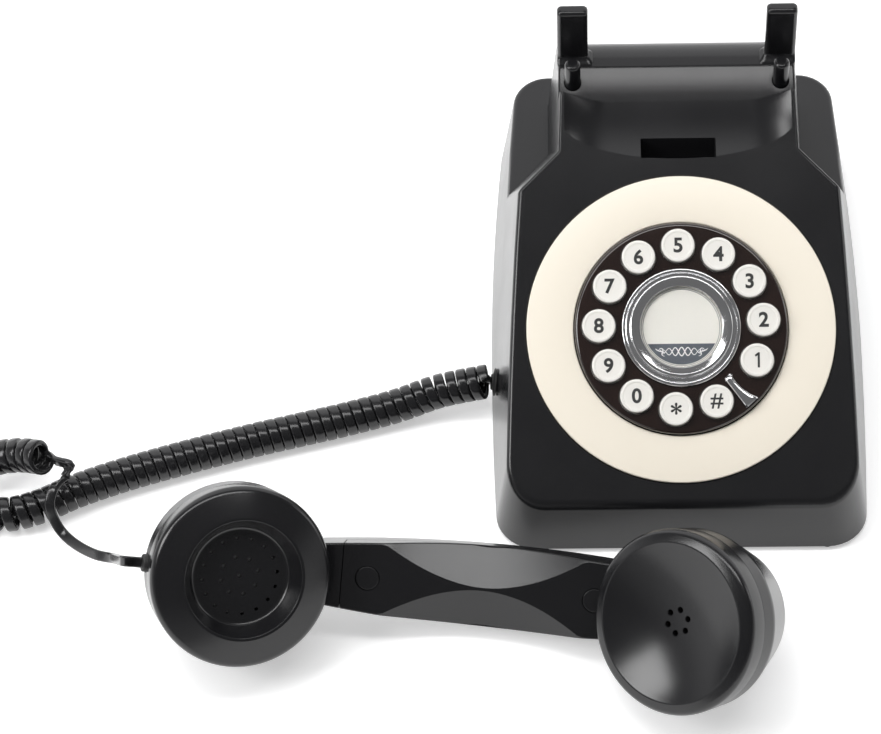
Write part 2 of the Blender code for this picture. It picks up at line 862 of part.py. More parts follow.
ring_bottom = seat_gap - ring_recess
ring_top = ring_bottom + ring_thickness
ring_inner = disc_radius + running_gap
ring_outline = [(ring_inner, ring_bottom), (ring_radius, ring_bottom), (ring_radius, ring_top), (ring_inner, ring_top)]
ring_outline = rounded(ring_outline, [0, 0, ring_edge_radius, ring_edge_radius], 1)
put("dial_ring", turned(ring_outline, 36), cream_plastic, face)


def keypad_disc():
    """A plate with holes for the buttons, on a skirt that passes through the shell and catches the board."""
    skirt_inner = disc_skirt_radius - disc_skirt_wall
    catch_top = board_rear - seat_gap
    catch_bottom = catch_top - 2 * disc_catch
    outline = [
        (0, plate_bottom),
        (skirt_inner, plate_bottom),
        (skirt_inner, catch_top),
        (skirt_inner - disc_catch, catch_top - disc_catch),
        (skirt_inner - disc_catch, catch_bottom),
        (disc_skirt_radius, catch_bottom),
        (disc_skirt_radius, ring_bottom),
        (disc_radius, ring_bottom),
        (disc_radius, disc_height),
        (0, disc_height),
    ]
    mesh = turned(rounded(outline, [0] * 8 + [disc_edge_radius, 0], 2), 28)
    bosses = [
        shifted(rod(disc_boss_radius, board_face + seat_gap, plate_bottom + weld_gap, 8), x, y, 0)
        for x, y in disc_boss_places
    ]
    holes = [
        shifted(rod(button_radius + running_gap, plate_bottom - seat_gap, disc_height + seat_gap, 10), x, y, 0)
        for x, y in button_places
    ]
    return cut(joined(mesh, *bosses), *holes)


put("keypad_disc", keypad_disc(), black_gloss, face)

button_outline = [
    (0, stem_bottom),
    (button_stem_radius, stem_bottom),
    (button_stem_radius, flange_bottom),
    (button_radius + button_flange, flange_bottom),
    (button_radius + button_flange, plate_bottom - seat_gap),
    (button_radius, plate_bottom - seat_gap),
    (button_radius, disc_height + button_height),
    (0, disc_height + button_height),
]
button_outline = rounded(button_outline, [0] * 6 + [button_edge_radius, 0], 1)
for name, (x, y) in zip(button_names, button_places):
    put("button_" + name, turned(button_outline, 12), white_plastic, face, (x, y, 0))


def keypad_mat():
    """A silicone sheet with a low dome under each button."""
    sheet = ring(mat_inner_radius, disc_skirt_radius - disc_skirt_wall - seat_gap, mat_top - mat_thickness, mat_top, 22)
    domes = []
    for x, y in button_places:
        outline = [
            (0, mat_top - mat_thickness / 2),
            (button_stem_radius + mat_thickness, mat_top - mat_thickness / 2),
            (button_stem_radius + mat_thickness, mat_top),
            (button_stem_radius - mat_thickness / 2, stem_bottom - seat_gap),
            (0, stem_bottom - seat_gap),
        ]
        domes.append(shifted(turned(outline, 4), x, y, 0))
    return joined(sheet, *domes)


put("keypad_mat", keypad_mat(), silicone, face)
put(
    "keypad_board",
    rod(disc_skirt_radius - disc_skirt_wall - seat_gap, board_rear, board_face, 24),
    circuit_green,
    face,
)

# The bezel stands on the disc and holds the card and the window
label_bottom = disc_height + seat_gap
window_bottom = label_bottom + label_thickness + seat_gap
bezel_seat = window_bottom + window_thickness + seat_gap
bezel_top = disc_height + bezel_height
groove_outer = bezel_radius - bezel_flange_width
groove_inner = groove_outer - bezel_groove_width
crown_inner = groove_inner - bezel_crown_width
bezel_outline = [
    (bezel_recess_radius, label_bottom),
    (bezel_radius, label_bottom),
    (bezel_radius, disc_height + bezel_flange_height),
    (groove_outer, disc_height + bezel_flange_height),
    (groove_outer, disc_height + bezel_groove_height),
    (groove_inner, disc_height + bezel_groove_height),
    (groove_inner, bezel_top),
    (crown_inner, bezel_top),
    (bezel_opening_radius, bezel_seat + bezel_ledge),
    (bezel_opening_radius, bezel_seat),
    (bezel_recess_radius, bezel_seat),
]
bezel_radii = [0, 0, bezel_flange_height / 3, bezel_flange_height / 4, 0, 0, bezel_crown_width / 3, bezel_crown_width / 3, 0, 0, 0]
put("center_bezel", turned(rounded(bezel_outline, bezel_radii, 1), 26), chrome, face)
card_radius = bezel_recess_radius - seat_gap
put("label_card", rod(card_radius, label_bottom, label_bottom + label_thickness, 24), card, face)
put("label_window", rod(card_radius, window_bottom, window_bottom + window_thickness, 24), clear_plastic, face)


def finger_stop():
    """A tapered chrome bar with one bowed edge, standing on the disc between two buttons."""
    steps = 6
    length = stop_outer_radius - stop_inner_radius
    upper = []
    lower = []
    for step in range(steps + 1):
        share = step / steps
        half = (stop_inner_width + (stop_outer_width - stop_inner_width) * share) / 2
        bow = stop_bow * 4 * share * (1 - share)
        along = stop_inner_radius + length * share
        upper.append((along, half - bow))
        lower.append((along, -half))
    outline = lower + upper[::-1]
    bottom = disc_height + seat_gap
    loops = [[(x, y, bottom) for x, y in outline], [(x, y, bottom + stop_height - stop_edge_radius) for x, y in outline]]
    middle = Vector((sum(x for x, _ in outline), sum(y for _, y in outline), 0)) / len(outline)
    top = []
    for x, y in outline:
        inward = (middle - Vector((x, y, 0))).normalized() * stop_edge_radius
        top.append((x + inward.x, y + inward.y, bottom + stop_height))
    loops.append(top)
    return moved(loft(loops), Matrix.Rotation(stop_angle, 4, "Z"))


put("finger_stop", finger_stop(), chrome, face)


# Hook: two plungers on a bar, over a spring and a switch


def plunger_outline():
    collar_top = under_roof - seat_gap
    outline = [
        (0, hook_bar_top + seat_gap),
        (plunger_radius, hook_bar_top + seat_gap),
        (plunger_radius, collar_top - plunger_collar),
        (plunger_collar_radius, collar_top - plunger_collar),
        (plunger_collar_radius, collar_top),
        (plunger_radius, collar_top),
        (plunger_radius, plunger_top_height),
        (0, plunger_top_height),
    ]
    return rounded(outline, [0] * 6 + [plunger_dome, 0], 2)


for name, (x, y) in zip(("left", "right"), plunger_places):
    put("hook_plunger_" + name, turned(plunger_outline(), 10), black_plastic, telephone, (x, y, 0))

bar_low = hook_bar_top - hook_bar_height
spring_base = board_top + seat_gap
foot_low = hook_foot_height
foot_high = hook_foot_height + hook_foot_thickness


def hook_bar():
    """A crossbar under both plungers, with a leg down to a foot over the spring and the switch."""
    bar = box(
        (2 * hook_bar_half_width, hook_bar_depth, hook_bar_height),
        (0, plunger_depth, bar_low + hook_bar_height / 2),
    )
    leg_top = bar_low + hook_bar_height / 2
    leg = box((hook_leg_width, hook_leg_depth, leg_top - foot_low), (0, plunger_depth, (leg_top + foot_low) / 2))
    near = -hook_leg_width / 2 - seat_gap
    foot = box(
        (hook_foot_reach - near, hook_bar_depth, hook_foot_thickness),
        ((hook_foot_reach + near) / 2, plunger_depth, (foot_low + foot_high) / 2 - weld_gap),
    )
    return joined(bar, leg, foot)


put("hook_bar", hook_bar(), black_plastic, telephone)


def tube_curve(name, points, thickness, resolution, skin):
    """A round cord or wire along a run of points, with flat ends."""
    data = bpy.data.curves.new(name, "CURVE")
    data.dimensions = "3D"
    data.bevel_depth = thickness / 2
    data.bevel_resolution = resolution
    data.use_fill_caps = True
    data.twist_mode = "MINIMUM"
    line = data.splines.new("POLY")
    line.points.add(len(points) - 1)
    for spot, point in zip(line.points, points):
        spot.co = (*point, 1)
    data.materials.append(skin)
    made = bpy.data.objects.new(name, data)
    scene_collection.objects.link(made)
    made.parent = telephone
    return made


def hook_spring():
    """A compression spring between the board and the foot of the hook bar."""
    per_turn = 6
    low = spring_base + hook_spring_wire
    high = foot_low - weld_gap - seat_gap - hook_spring_wire
    count = hook_spring_turns * per_turn
    return [
        (
            hook_spring_radius * cos(2 * pi * step / per_turn),
            plunger_depth + hook_spring_radius * sin(2 * pi * step / per_turn),
            low + (high - low) * step / count,
        )
        for step in range(count + 1)
    ]


tube_curve("hook_spring", hook_spring(), 2 * hook_spring_wire, 0, steel)


def hook_switch():
    """A small switch whose button waits just below the foot's lowest place."""
    body = box(hook_switch_size, (0, 0, hook_switch_size.z / 2))
    tip = foot_low - plunger_travel - seat_gap - spring_base
    button = box(
        (2 * hook_switch_button, 2 * hook_switch_button, tip - hook_switch_size.z / 2),
        (0, 0, (tip + hook_switch_size.z / 2) / 2),
    )
    return joined(body, button)


put("hook_switch", hook_switch(), black_gloss, telephone, (hook_switch_offset, plunger_depth, spring_base))


# Base plate with its feet, screws, board and battery

board_low = plate_top + main_board_standoff + seat_gap
standoff_places = [
    (side * (main_board_size.x / 2 - standoff_inset), main_board_depth + end * (main_board_size.y / 2 - standoff_inset))
    for side in (-1, 1)
    for end in (-1, 1)
]
battery_axis_height = plate_top + battery_cradle_wall + battery_clearance + battery_radius


def base_plate():
    """A flat plate inside the shell's rim, with screw bosses, board standoffs and two battery cradles."""
    inset = shell_wall + 2 * seat_gap
    plate = loft([plan_loop(base_height, inset, 2, 3), plan_loop(plate_top, inset, 2, 3)])
    under = plate_top - weld_gap
    added = [
        shifted(rod(plate_boss_radius, under - plate_thickness / 2, plate_top + plate_boss_height, 6), x, y, 0)
        for x, y in screw_places
    ]
    added += [
        shifted(rod(standoff_radius, under - plate_thickness / 2, plate_top + main_board_standoff, 6), x, y, 0)
        for x, y in standoff_places
    ]
    bed_radius = battery_radius + battery_clearance
    cradle_top = battery_axis_height + battery_cradle_rise
    for side in (-1, 1):
        across = 2 * (bed_radius + battery_cradle_wall)
        low = plate_top - plate_thickness / 2
        x = side * battery_length / 3
        bed = box(
            (battery_cradle_width, across, cradle_top - low),
            (x, battery_depth, (cradle_top + low) / 2),
        )
        hollow = rod(bed_radius, -battery_cradle_width, battery_cradle_width, 12)
        place = Matrix.Translation((x, battery_depth, battery_axis_height)) @ Matrix.Rotation(pi / 2, 4, "Y")
        added.append(cut(bed, moved(hollow, place)))
    plate = joined(plate, *added)
    sink = base_height + plate_screw_sink + plate_screw_head_height + seat_gap
    holes = []
    for x, y in screw_places:
        hole = turned(
            [
                (0, 0),
                (plate_screw_head_radius + running_gap, 0),
                (plate_screw_head_radius + running_gap, sink),
                (plate_screw_radius + running_gap, sink),
                (plate_screw_radius + running_gap, boss_bottom),
                (0, boss_bottom),
            ],
            8,
        )
        holes.append(shifted(hole, x, y, 0))
    return cut(plate, *holes)


put("base_plate", base_plate(), black_plastic, telephone)

for number, (x, y) in enumerate(foot_places, 1):
    pad = rod(foot_radius, -(base_height - seat_gap), 0, 12)
    put(f"foot_{number}", moved(pad, Matrix.Rotation(pi, 4, "X")), rubber, telephone, (x, y, 0))

screw_bottom = base_height + plate_screw_sink
for number, (x, y) in enumerate(screw_places, 1):
    outline = [
        (0, 0),
        (plate_screw_head_radius, 0),
        (plate_screw_head_radius, plate_screw_head_height),
        (plate_screw_radius, plate_screw_head_height),
        (plate_screw_radius, plate_screw_length),
        (0, plate_screw_length),
    ]
    put(f"base_screw_{number}", turned(outline, 6), steel, telephone, (x, y, screw_bottom))

put(
    "main_board",
    box(main_board_size, (0, 0, main_board_size.z / 2)),
    circuit_green,
    telephone,
    (0, main_board_depth, board_low),
)

battery = rod(battery_radius, -battery_length / 2, battery_length / 2, 14)
put("battery_pack", battery, battery_wrap, telephone, (0, battery_depth, battery_axis_height), (0, pi / 2, 0))


def charging_socket():
    """A flat socket whose mouth opens at the rear wall, with a contact tongue."""
    shell = box(socket_size)
    mouth = box(
        (socket_mouth.x, 2 * socket_mouth.y, socket_mouth.z),
        (0, socket_size.y / 2, 0),
    )
    return cut(shell, mouth)


put("charging_socket", charging_socket(), steel, telephone, (socket_offset, socket_depth, socket_height))

power_body_rear = power_body_depth + power_body_size.y / 2
put(
    "power_switch",
    box(power_body_size),
    black_gloss,
    telephone,
    (power_switch_offset, power_body_depth, switch_height),
)
knob_depth = power_body_rear + seat_gap + power_knob_reach / 2
put(
    "power_switch_knob",
    box((power_knob_width, power_knob_reach, power_knob_height), edge=seat_gap, steps=1),
    white_plastic,
    telephone,
    (power_switch_offset - power_travel / 2, knob_depth, switch_height),
)


# Handset, in its own frame: x runs from the mouthpiece to the earpiece and z is the way the caps face

along = Matrix.Rotation(handset_turn, 4, "Z")
handset = empty("handset_frame", telephone, Matrix.Translation(handset_mic_place) @ along @ Matrix.Rotation(handset_roll, 4, "X"))
mic_cup = Matrix.Rotation(mic_lean, 4, "Y")
ear_cup = Matrix.Translation((cup_spacing, 0, 0)) @ Matrix.Rotation(-ear_lean, 4, "Y")
middle_place = cup_spacing / 2
neck_top = housing_neck - cap_skirt


def through(x, points):
    """The parabola through three (place, value) points, read at x."""
    (a, at_a), (b, at_b), (c, at_c) = points
    return (
        at_a * (x - b) * (x - c) / ((a - b) * (a - c))
        + at_b * (x - a) * (x - c) / ((b - a) * (b - c))
        + at_c * (x - a) * (x - b) / ((c - a) * (c - b))
    )


def handle_height(x):
    """Height of the handle's middle line."""
    return -through(x, ((0, handle_mic_depth), (middle_place, handle_middle_depth), (cup_spacing, handle_ear_depth)))


def handle_half_width(x):
    near = middle_place + cover_mic_place
    far = middle_place + cover_ear_place
    return through(x, ((near, handle_mic_width), (middle_place, handle_middle_width), (far, handle_ear_width))) / 2


def facet_share(x):
    """1 in the middle of the two facets on the handle's inner side, 0 beyond their ends."""
    away = (x - middle_place - handle_facet_place) / (handle_facet_length / 2)
    return max(0.0, 1 - away * away)


def handle_loop(x):
    half = handle_half_width(x)
    centre = handle_height(x)
    top = centre + handle_thickness / 2
    bottom = centre - handle_thickness / 2
    facet = facet_share(x)
    ridge = half * (1 - facet) * handle_ridge_share + handle_corner_radius / 8
    edge = top - handle_ridge_drop * facet
    outline = [(-half, bottom), (half, bottom), (half, edge), (ridge, top), (-ridge, top), (-half, edge)]
    radii = [handle_corner_radius, handle_corner_radius, 0, 0, 0, 0]
    return [(x, y, z) for y, z in rounded(outline, radii, 2)]


def stations(start, end, count):
    return [start + (end - start) * step / (count - 1) for step in range(count)]


def handle_solid():
    start = handle_end_inset
    return loft([handle_loop(x) for x in stations(start, cup_spacing - start, 11)])


def split_block(grow):
    """Everything above the seam between the handle's two halves, along the length of the cover."""
    loops = []
    for x in stations(middle_place + cover_mic_place - grow, middle_place + cover_ear_place + grow, 9):
        low = handle_height(x) + handle_split - grow
        high = handle_height(x) + handle_thickness
        wide = handle_middle_width
        loops.append([(x, -wide, low), (x, wide, low), (x, wide, high), (x, -wide, high)])
    return loft(loops)


def handle_room():
    """The hollow of the handle, less a solid boss at each screw."""
    loops = []
    start = handle_end_inset + seat_gap
    for x in stations(start, cup_spacing - start, 7):
        half = handle_half_width(x) - handle_wall
        centre = handle_height(x)
        low = centre - handle_thickness / 2 + handle_wall
        high = centre + handle_thickness / 2 - handle_ridge_drop * facet_share(x) - handle_room_top
        loops.append([(x, -half, low), (x, half, low), (x, half, high), (x, -half, high)])
    bosses = [
        shifted(rod(handle_boss_radius, -handle_thickness, handle_thickness, 8), x, 0, handle_height(x))
        for x in screw_spots
    ]
    return cut(loft(loops), *bosses)


screw_spots = (middle_place + plug_mic_place, middle_place + plug_ear_place)
plug_low = handle_thickness / 2 - plug_thickness
head_top = plug_low - 2 * seat_gap
head_low = head_top - handle_screw_head_height
screw_low = head_low - handle_screw_length


def screw_bore():
    """The stepped hole for a handle screw and the plug over it, measured from the handle's middle line."""
    radius = handle_screw_radius + running_gap
    head = handle_screw_head_radius + running_gap
    plug = plug_radius + seat_gap
    outline = [
        (0, screw_low - seat_gap),
        (radius, screw_low - seat_gap),
        (radius, head_low - seat_gap),
        (head, head_low - seat_gap),
        (head, plug_low - seat_gap),
        (plug, plug_low - seat_gap),
        (plug, handle_thickness),
        (0, handle_thickness),
    ]
    return turned(outline, 10)


def bores():
    return [shifted(screw_bore(), x, 0, handle_height(x)) for x in screw_spots]


def housing(cap_radius):
    neck = cap_radius - cap_wall - seat_gap
    seat = -cap_skirt - seat_gap
    straight = seat - housing_straight
    outline = [
        (0, -housing_depth),
        (housing_back_radius, -housing_depth),
        (housing_radius, straight),
        (housing_radius, seat),
        (neck, seat),
        (neck, neck_top),
        (0, neck_top),
    ]
    return turned(rounded(outline, [0, housing_back_round, housing_back_round, 0, 0, 0, 0], 2), 26)


def housing_room(cap_radius):
    neck = cap_radius - cap_wall - seat_gap - housing_wall
    straight = -cap_skirt - housing_straight
    inner_round = housing_back_round - housing_wall
    outline = [
        (0, housing_wall - housing_depth),
        (housing_back_radius - housing_wall / 2, housing_wall - housing_depth),
        (housing_radius - housing_wall, straight),
        (neck, straight + housing_straight / 2),
        (neck, cut_overrun),
        (0, cut_overrun),
    ]
    return turned(rounded(outline, [0, inner_round, 0, 0, 0, 0], 1), 16)


inlet_direction = Vector((-cos(inlet_turn), sin(inlet_turn), 0))
inlet_matrix = (
    mic_cup
    @ Matrix.Translation(inlet_direction * housing_radius + Vector((0, 0, inlet_height)))
    @ inlet_direction.to_track_quat("Z", "X").to_matrix().to_4x4()
)


def handset_back_shell():
    """Both cup housings and the outer half of the handle, in one moulding."""
    shell = joined(handle_solid(), moved(housing(mic_cap_radius), mic_cup), moved(housing(ear_cap_radius), ear_cup))
    rooms = [moved(housing_room(mic_cap_radius), mic_cup), moved(housing_room(ear_cap_radius), ear_cup)]
    inlet = moved(rod(inlet_radius + seat_gap, -housing_wall - cut_overrun, cut_overrun, 10), inlet_matrix)
    return cut(shell, split_block(seat_gap), handle_room(), *rooms, *bores(), inlet)


def handset_cover():
    return cut(shaped(handle_solid(), ("INTERSECT", split_block(0.0))), handle_room(), *bores())


put("handset_back_shell", handset_back_shell(), black_plastic, handset)
put("handset_cover", handset_cover(), black_plastic, handset)

for number, x in enumerate(screw_spots, 1):
    centre = handle_height(x)
    put(f"screw_plug_{number}", rod(plug_radius, plug_low, handle_thickness / 2, 10), black_plastic, handset, (x, 0, centre))
    outline = [
        (0, screw_low),
        (handle_screw_radius, screw_low),
        (handle_screw_radius, head_low),
        (handle_screw_head_radius, head_low),
        (handle_screw_head_radius, head_top),
        (0, head_top),
    ]
    put(f"handle_screw_{number}", turned(outline, 8), steel, handset, (x, 0, centre))

weight_spots = stations(middle_place - weight_size.x / 2, middle_place + weight_size.x / 2, 5)
weight_floor = max(handle_height(x) for x in weight_spots) - handle_thickness / 2 + handle_wall + seat_gap
put(
    "handset_weight",
    box(weight_size, (0, 0, weight_size.z / 2), edge=seat_gap, steps=1),
    steel,
    handset,
    (middle_place, 0, weight_floor),
)


def cap_holes(floor, circles, radius):
    """Small bores through a cap's floor: one in the middle where a circle counts one, and rings of more."""
    made = []
    for circle, count in circles:
        for number in range(count):
            angle = 2 * pi * (number + hole_turn_share) / count
            hole = rod(radius, floor - cap_wall - cut_overrun, floor + cut_overrun, 6)
            made.append(shifted(hole, circle * cos(angle), circle * sin(angle), 0))
    return made


def mic_cap():
    """The mouthpiece cap: a shoulder that rises to a round recess with holes in its floor."""
    floor = mic_rim_rise - mic_floor_depth
    inner = mic_cap_radius - cap_wall
    under = neck_top + seat_gap
    outline = [
        (0, floor - cap_wall),
        (mic_floor_radius + cap_wall / 2, floor - cap_wall),
        (mic_recess_radius + cap_wall, under),
        (inner, under),
        (inner, -cap_skirt),
        (mic_cap_radius - cap_skirt_taper, -cap_skirt),
        (mic_cap_radius, mic_shoulder),
        (mic_recess_radius + mic_rim_width, mic_rim_rise),
        (mic_recess_radius, mic_rim_rise),
        (mic_floor_radius, floor),
        (0, floor),
    ]
    radii = [0, 0, 0, 0, 0, 0, mic_shoulder_radius, 0, 0, mic_floor_fillet, 0]
    circles = ((0.0, 1), (mic_hole_circle, mic_hole_count))
    return cut(turned(rounded(outline, radii, 2), 26), *cap_holes(floor, circles, mic_hole_radius))


def ear_cap():
    """The earpiece cap: a shoulder, a rim and a shallow dish with six holes."""
    inner = ear_cap_radius - cap_wall
    under = neck_top + seat_gap
    low = ear_rim_rise - ear_dish_depth
    support = speaker_radius + speaker_rim
    dish_steps = 3
    dish = []
    for step in range(dish_steps + 1):
        share = 1 - step / dish_steps
        dish.append((ear_dish_radius * share, low + (ear_rim_rise - low) * share * share))
    outline = [
        (0, low - cap_wall),
        (support, low - cap_wall),
        (support + cap_wall, under),
        (inner, under),
        (inner, -cap_skirt),
        (ear_cap_radius - cap_skirt_taper, -cap_skirt),
        (ear_cap_radius, ear_shoulder),
        (ear_dish_radius + cap_wall / 4, ear_rim_rise),
    ]
    radii = [0, 0, 0, 0, 0, 0, ear_shoulder_radius, 0]
    profile = rounded(outline + dish, radii + [0] * len(dish), 2)
    holes = cap_holes(low, ((ear_hole_circle, ear_hole_count),), cap_hole_radius)
    return cut(turned(profile, 26), *holes)


put("mic_cap", moved(mic_cap(), mic_cup), black_plastic, handset)
put("ear_cap", moved(ear_cap(), ear_cup), black_plastic, handset)

capsule_top = mic_rim_rise - mic_floor_depth - cap_wall - seat_gap
capsule = rod(capsule_radius, capsule_top - capsule_thickness, capsule_top, 14)
put("microphone_capsule", moved(capsule, mic_cup), steel, handset)

speaker_top = ear_rim_rise - ear_dish_depth - cap_wall - seat_gap
speaker_outline = [
    (0, speaker_top - speaker_thickness),
    (speaker_magnet_radius, speaker_top - speaker_thickness),
    (speaker_magnet_radius, speaker_top - speaker_rim),
    (speaker_radius, speaker_top - speaker_rim),
    (speaker_radius, speaker_top),
    (0, speaker_top),
]
put("ear_speaker", moved(turned(speaker_outline, 14), ear_cup), black_gloss, handset)

inlet_root = mic_cap_radius - cap_wall - housing_wall - housing_radius - 4 * seat_gap
inlet_outline = [
    (0, inlet_root - inlet_collar),
    (inlet_radius + inlet_collar, inlet_root - inlet_collar),
    (inlet_radius + inlet_collar, inlet_root),
    (inlet_radius, inlet_root),
    (inlet_radius, inlet_reach),
    (0, inlet_reach),
]
put("handset_inlet", moved(turned(inlet_outline, 10), inlet_matrix), rubber, handset)


# Cord outlet: a grommet held in the left wall by its flange and its inner collar

grommet = [
    (0, -shell_wall - seat_gap - outlet_collar),
    (outlet_flange_radius, -shell_wall - seat_gap - outlet_collar),
    (outlet_flange_radius, -shell_wall - seat_gap),
    (outlet_radius, -shell_wall - seat_gap),
    (outlet_radius, seat_gap),
    (outlet_flange_radius, seat_gap),
    (outlet_flange_radius, seat_gap + outlet_flange / 2),
    (outlet_nose_radius, seat_gap + outlet_flange),
    (outlet_nose_radius, outlet_flange + outlet_nose),
    (0, outlet_flange + outlet_nose),
]
put("cord_outlet", moved(turned(grommet, 12), outlet_matrix), rubber, telephone)


# Cords: a curly one from the outlet to its folded end, and a plain lead from there to the mouthpiece

curl_route = [
    Vector((-88.8, 64.2, 11.5)) * MM,
    Vector((-105.0, 60.2, 7.8)) * MM,
    Vector((-122.5, 55.5, 6.7)) * MM,
    Vector((-141.0, 50.6, 6.7)) * MM,
    Vector((-160.0, 45.6, 6.7)) * MM,
    Vector((-182.4, 39.0, 6.7)) * MM,
    Vector((-205.0, 31.6, 6.7)) * MM,
    Vector((-222.6, 24.6, 6.7)) * MM,
    Vector((-236.5, 17.6, 6.7)) * MM,
    Vector((-249.0, 14.4, 6.7)) * MM,
    Vector((-259.5, 17.6, 6.9)) * MM,
    Vector((-262.6, 27.5, 7.8)) * MM,
    Vector((-255.6, 35.6, 10.2)) * MM,
    Vector((-245.0, 35.6, 14.0)) * MM,
]
curl_end = Vector((-235.0, 31.2, 19.0)) * MM
curl_end_way = Vector((0.86, -0.42, 0.28)).normalized()
lead_route = [
    Vector((-224.6, 24.6, 21.4)) * MM,
    Vector((-226.0, 20.6, 20.6)) * MM,
    Vector((-229.8, 17.4, 18.6)) * MM,
    Vector((-231.2, 12.6, 15.6)) * MM,
    Vector((-229.8, 9.2, 10.4)) * MM,
    Vector((-226.4, 5.2, 7.0)) * MM,
    Vector((-220.4, -1.4, 9.4)) * MM,
    Vector((-213.0, -8.4, 14.6)) * MM,
    Vector((-205.4, -14.4, 21.6)) * MM,
]
helix_radius = (curl_diameter - cord_diameter) / 2
lead_face = handset.matrix_local @ inlet_matrix @ Vector((0, 0, inlet_reach + seat_gap))
lead_way = ((handset.matrix_local @ inlet_matrix).to_3x3() @ Vector((0, 0, 1))).normalized()


def straight_start(face, way):
    """Three points in line, so that a cord meets a face squarely and runs straight for one diameter."""
    return [face + way * cord_diameter * step for step in range(3)]


def smooth_route(spots, spacing):
    """Points along a smooth curve through the spots, straight for a diameter at each end, and the run to each."""
    guides = [2 * spots[0] - spots[1], *spots, 2 * spots[-1] - spots[-2]]
    fine = []
    for before, start, end, after in zip(guides, guides[1:], guides[2:], guides[3:]):
        for step in range(route_steps):
            share = step / route_steps
            bend = 2 * before - 5 * start + 4 * end - after
            twist = 3 * start - before - 3 * end + after
            fine.append((2 * start + (end - before) * share + bend * share**2 + twist * share**3) / 2)
    fine = np.array([tuple(point) for point in [*fine, spots[-1]]])
    run = np.concatenate([[0], np.cumsum(np.linalg.norm(np.diff(fine, axis=0), axis=1))])
    even = np.linspace(cord_diameter, run[-1] - cord_diameter, round(run[-1] / spacing))
    even = np.concatenate([[0], even, run[-1:]])
    return np.stack([np.interp(even, run, fine[:, axis]) for axis in range(3)], axis=1), even


def unit(rows):
    return rows / np.linalg.norm(rows, axis=1, keepdims=True)


def curled(route, run):
    """The helix round a route. Each curl takes the same length of the coil's inner side, so it opens in a bend."""
    ways = unit(np.gradient(route, run, axis=0))
    bends = np.linalg.norm(np.gradient(ways, run, axis=0), axis=1)
    sides = [np.array(Vector(ways[0]).orthogonal().normalized())]
    for way in ways[1:]:
        side = sides[-1] - way * (sides[-1] @ way)
        sides.append(side / np.linalg.norm(side))
    sides = np.array(sides)
    from_end = np.minimum(run, run[-1] - run) - cord_diameter
    risen = np.clip(from_end / curl_run_in, 0, 1)
    risen = risen * risen * (3 - 2 * risen)
    rate = risen * np.clip(1 - bends * helix_radius, 0.25, 1)
    turns = np.concatenate([[0], np.cumsum((rate[1:] + rate[:-1]) / 2 * np.diff(run))])
    turns *= curl_count / turns[-1]
    angles = 2 * pi * turns
    radial = sides * np.cos(angles)[:, None] + np.cross(ways, sides) * np.sin(angles)[:, None]
    helix = route + helix_radius * risen[:, None] * radial
    first = cord_diameter + curl_run_in
    last = run[-1] - first
    begin, finish = np.interp([first, last], run, turns)
    count = round((finish - begin) * curl_points)
    spots = np.concatenate(
        [
            [0],
            np.linspace(cord_diameter, first, curl_run_in_points, endpoint=False),
            np.interp(np.linspace(begin, finish, count + 1), turns, run),
            np.linspace(run[-1] - cord_diameter, last, curl_run_in_points, endpoint=False)[::-1],
            [run[-1]],
        ]
    )
    return np.stack([np.interp(spots, run, helix[:, axis]) for axis in range(3)], axis=1)


def least_gap(points, others, apart=0):
    """Least clear distance between two runs of cord, or of one to itself where it is at least `apart` points away."""
    starts = others[:-1]
    spans = others[1:] - starts
    least = np.inf
    for number, point in enumerate(points):
        away = point - starts
        share = np.clip((away * spans).sum(axis=1) / (spans * spans).sum(axis=1), 0, 1)
        distance = np.linalg.norm(away - spans * share[:, None], axis=1)
        if apart:
            distance = distance[np.abs(np.arange(len(starts)) - number) >= apart]
        least = min(least, distance.min())
    return least - cord_diameter


outlet_face = outlet_matrix @ Vector((0, 0, outlet_flange + outlet_nose + seat_gap))
end_face = curl_end + curl_end_way * 2 * cord_diameter
coil_spots = straight_start(outlet_face, outlet_way) + curl_route + straight_start(end_face, -curl_end_way)[::-1]
coil = curled(*smooth_route(coil_spots, route_spacing))
lead_start = end_face + curl_end_way * seat_gap
lead_spots = straight_start(lead_start, curl_end_way) + lead_route + straight_start(lead_face, lead_way)[::-1]
lead = smooth_route(lead_spots, lead_spacing)[0]
tube_curve("cord_curl", coil, cord_diameter, 1, cord_black)
tube_curve("cord_lead", lead, cord_diameter, 2, cord_black)
print(f"curly cord: least gap to itself {least_gap(coil, coil, curl_points // 2) / MM:.2f} mm")
print(f"lead: least gap to the curls {least_gap(lead[2:], coil[:-2]) / MM:.2f} mm")


# The origin lies on the table, under the middle of the bounds of everything but the cords


def stand_at_origin():
    bpy.context.view_layer.update()
    spots = []
    for made in scene_collection.objects:
        if made.type == "MESH":
            spots += [tuple(made.matrix_world @ corner.co) for corner in made.data.vertices]
    middle = (np.min(spots, axis=0) + np.max(spots, axis=0)) / 2
    telephone.location = (-middle[0], -middle[1], 0)


stand_at_origin()
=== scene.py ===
# %% [markdown]
# # A recording desk telephone
# A black push-button telephone with a cream ring round its keypad, a chrome centre and a handset on a curly
# cord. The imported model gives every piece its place. Here most of them are made again with finer curves,
# and all of them get their finishes.

import json
from math import atan2, cos, pi, radians, sin, sqrt, tan

import bpy
import numpy as np
from mathutils import Matrix, Vector

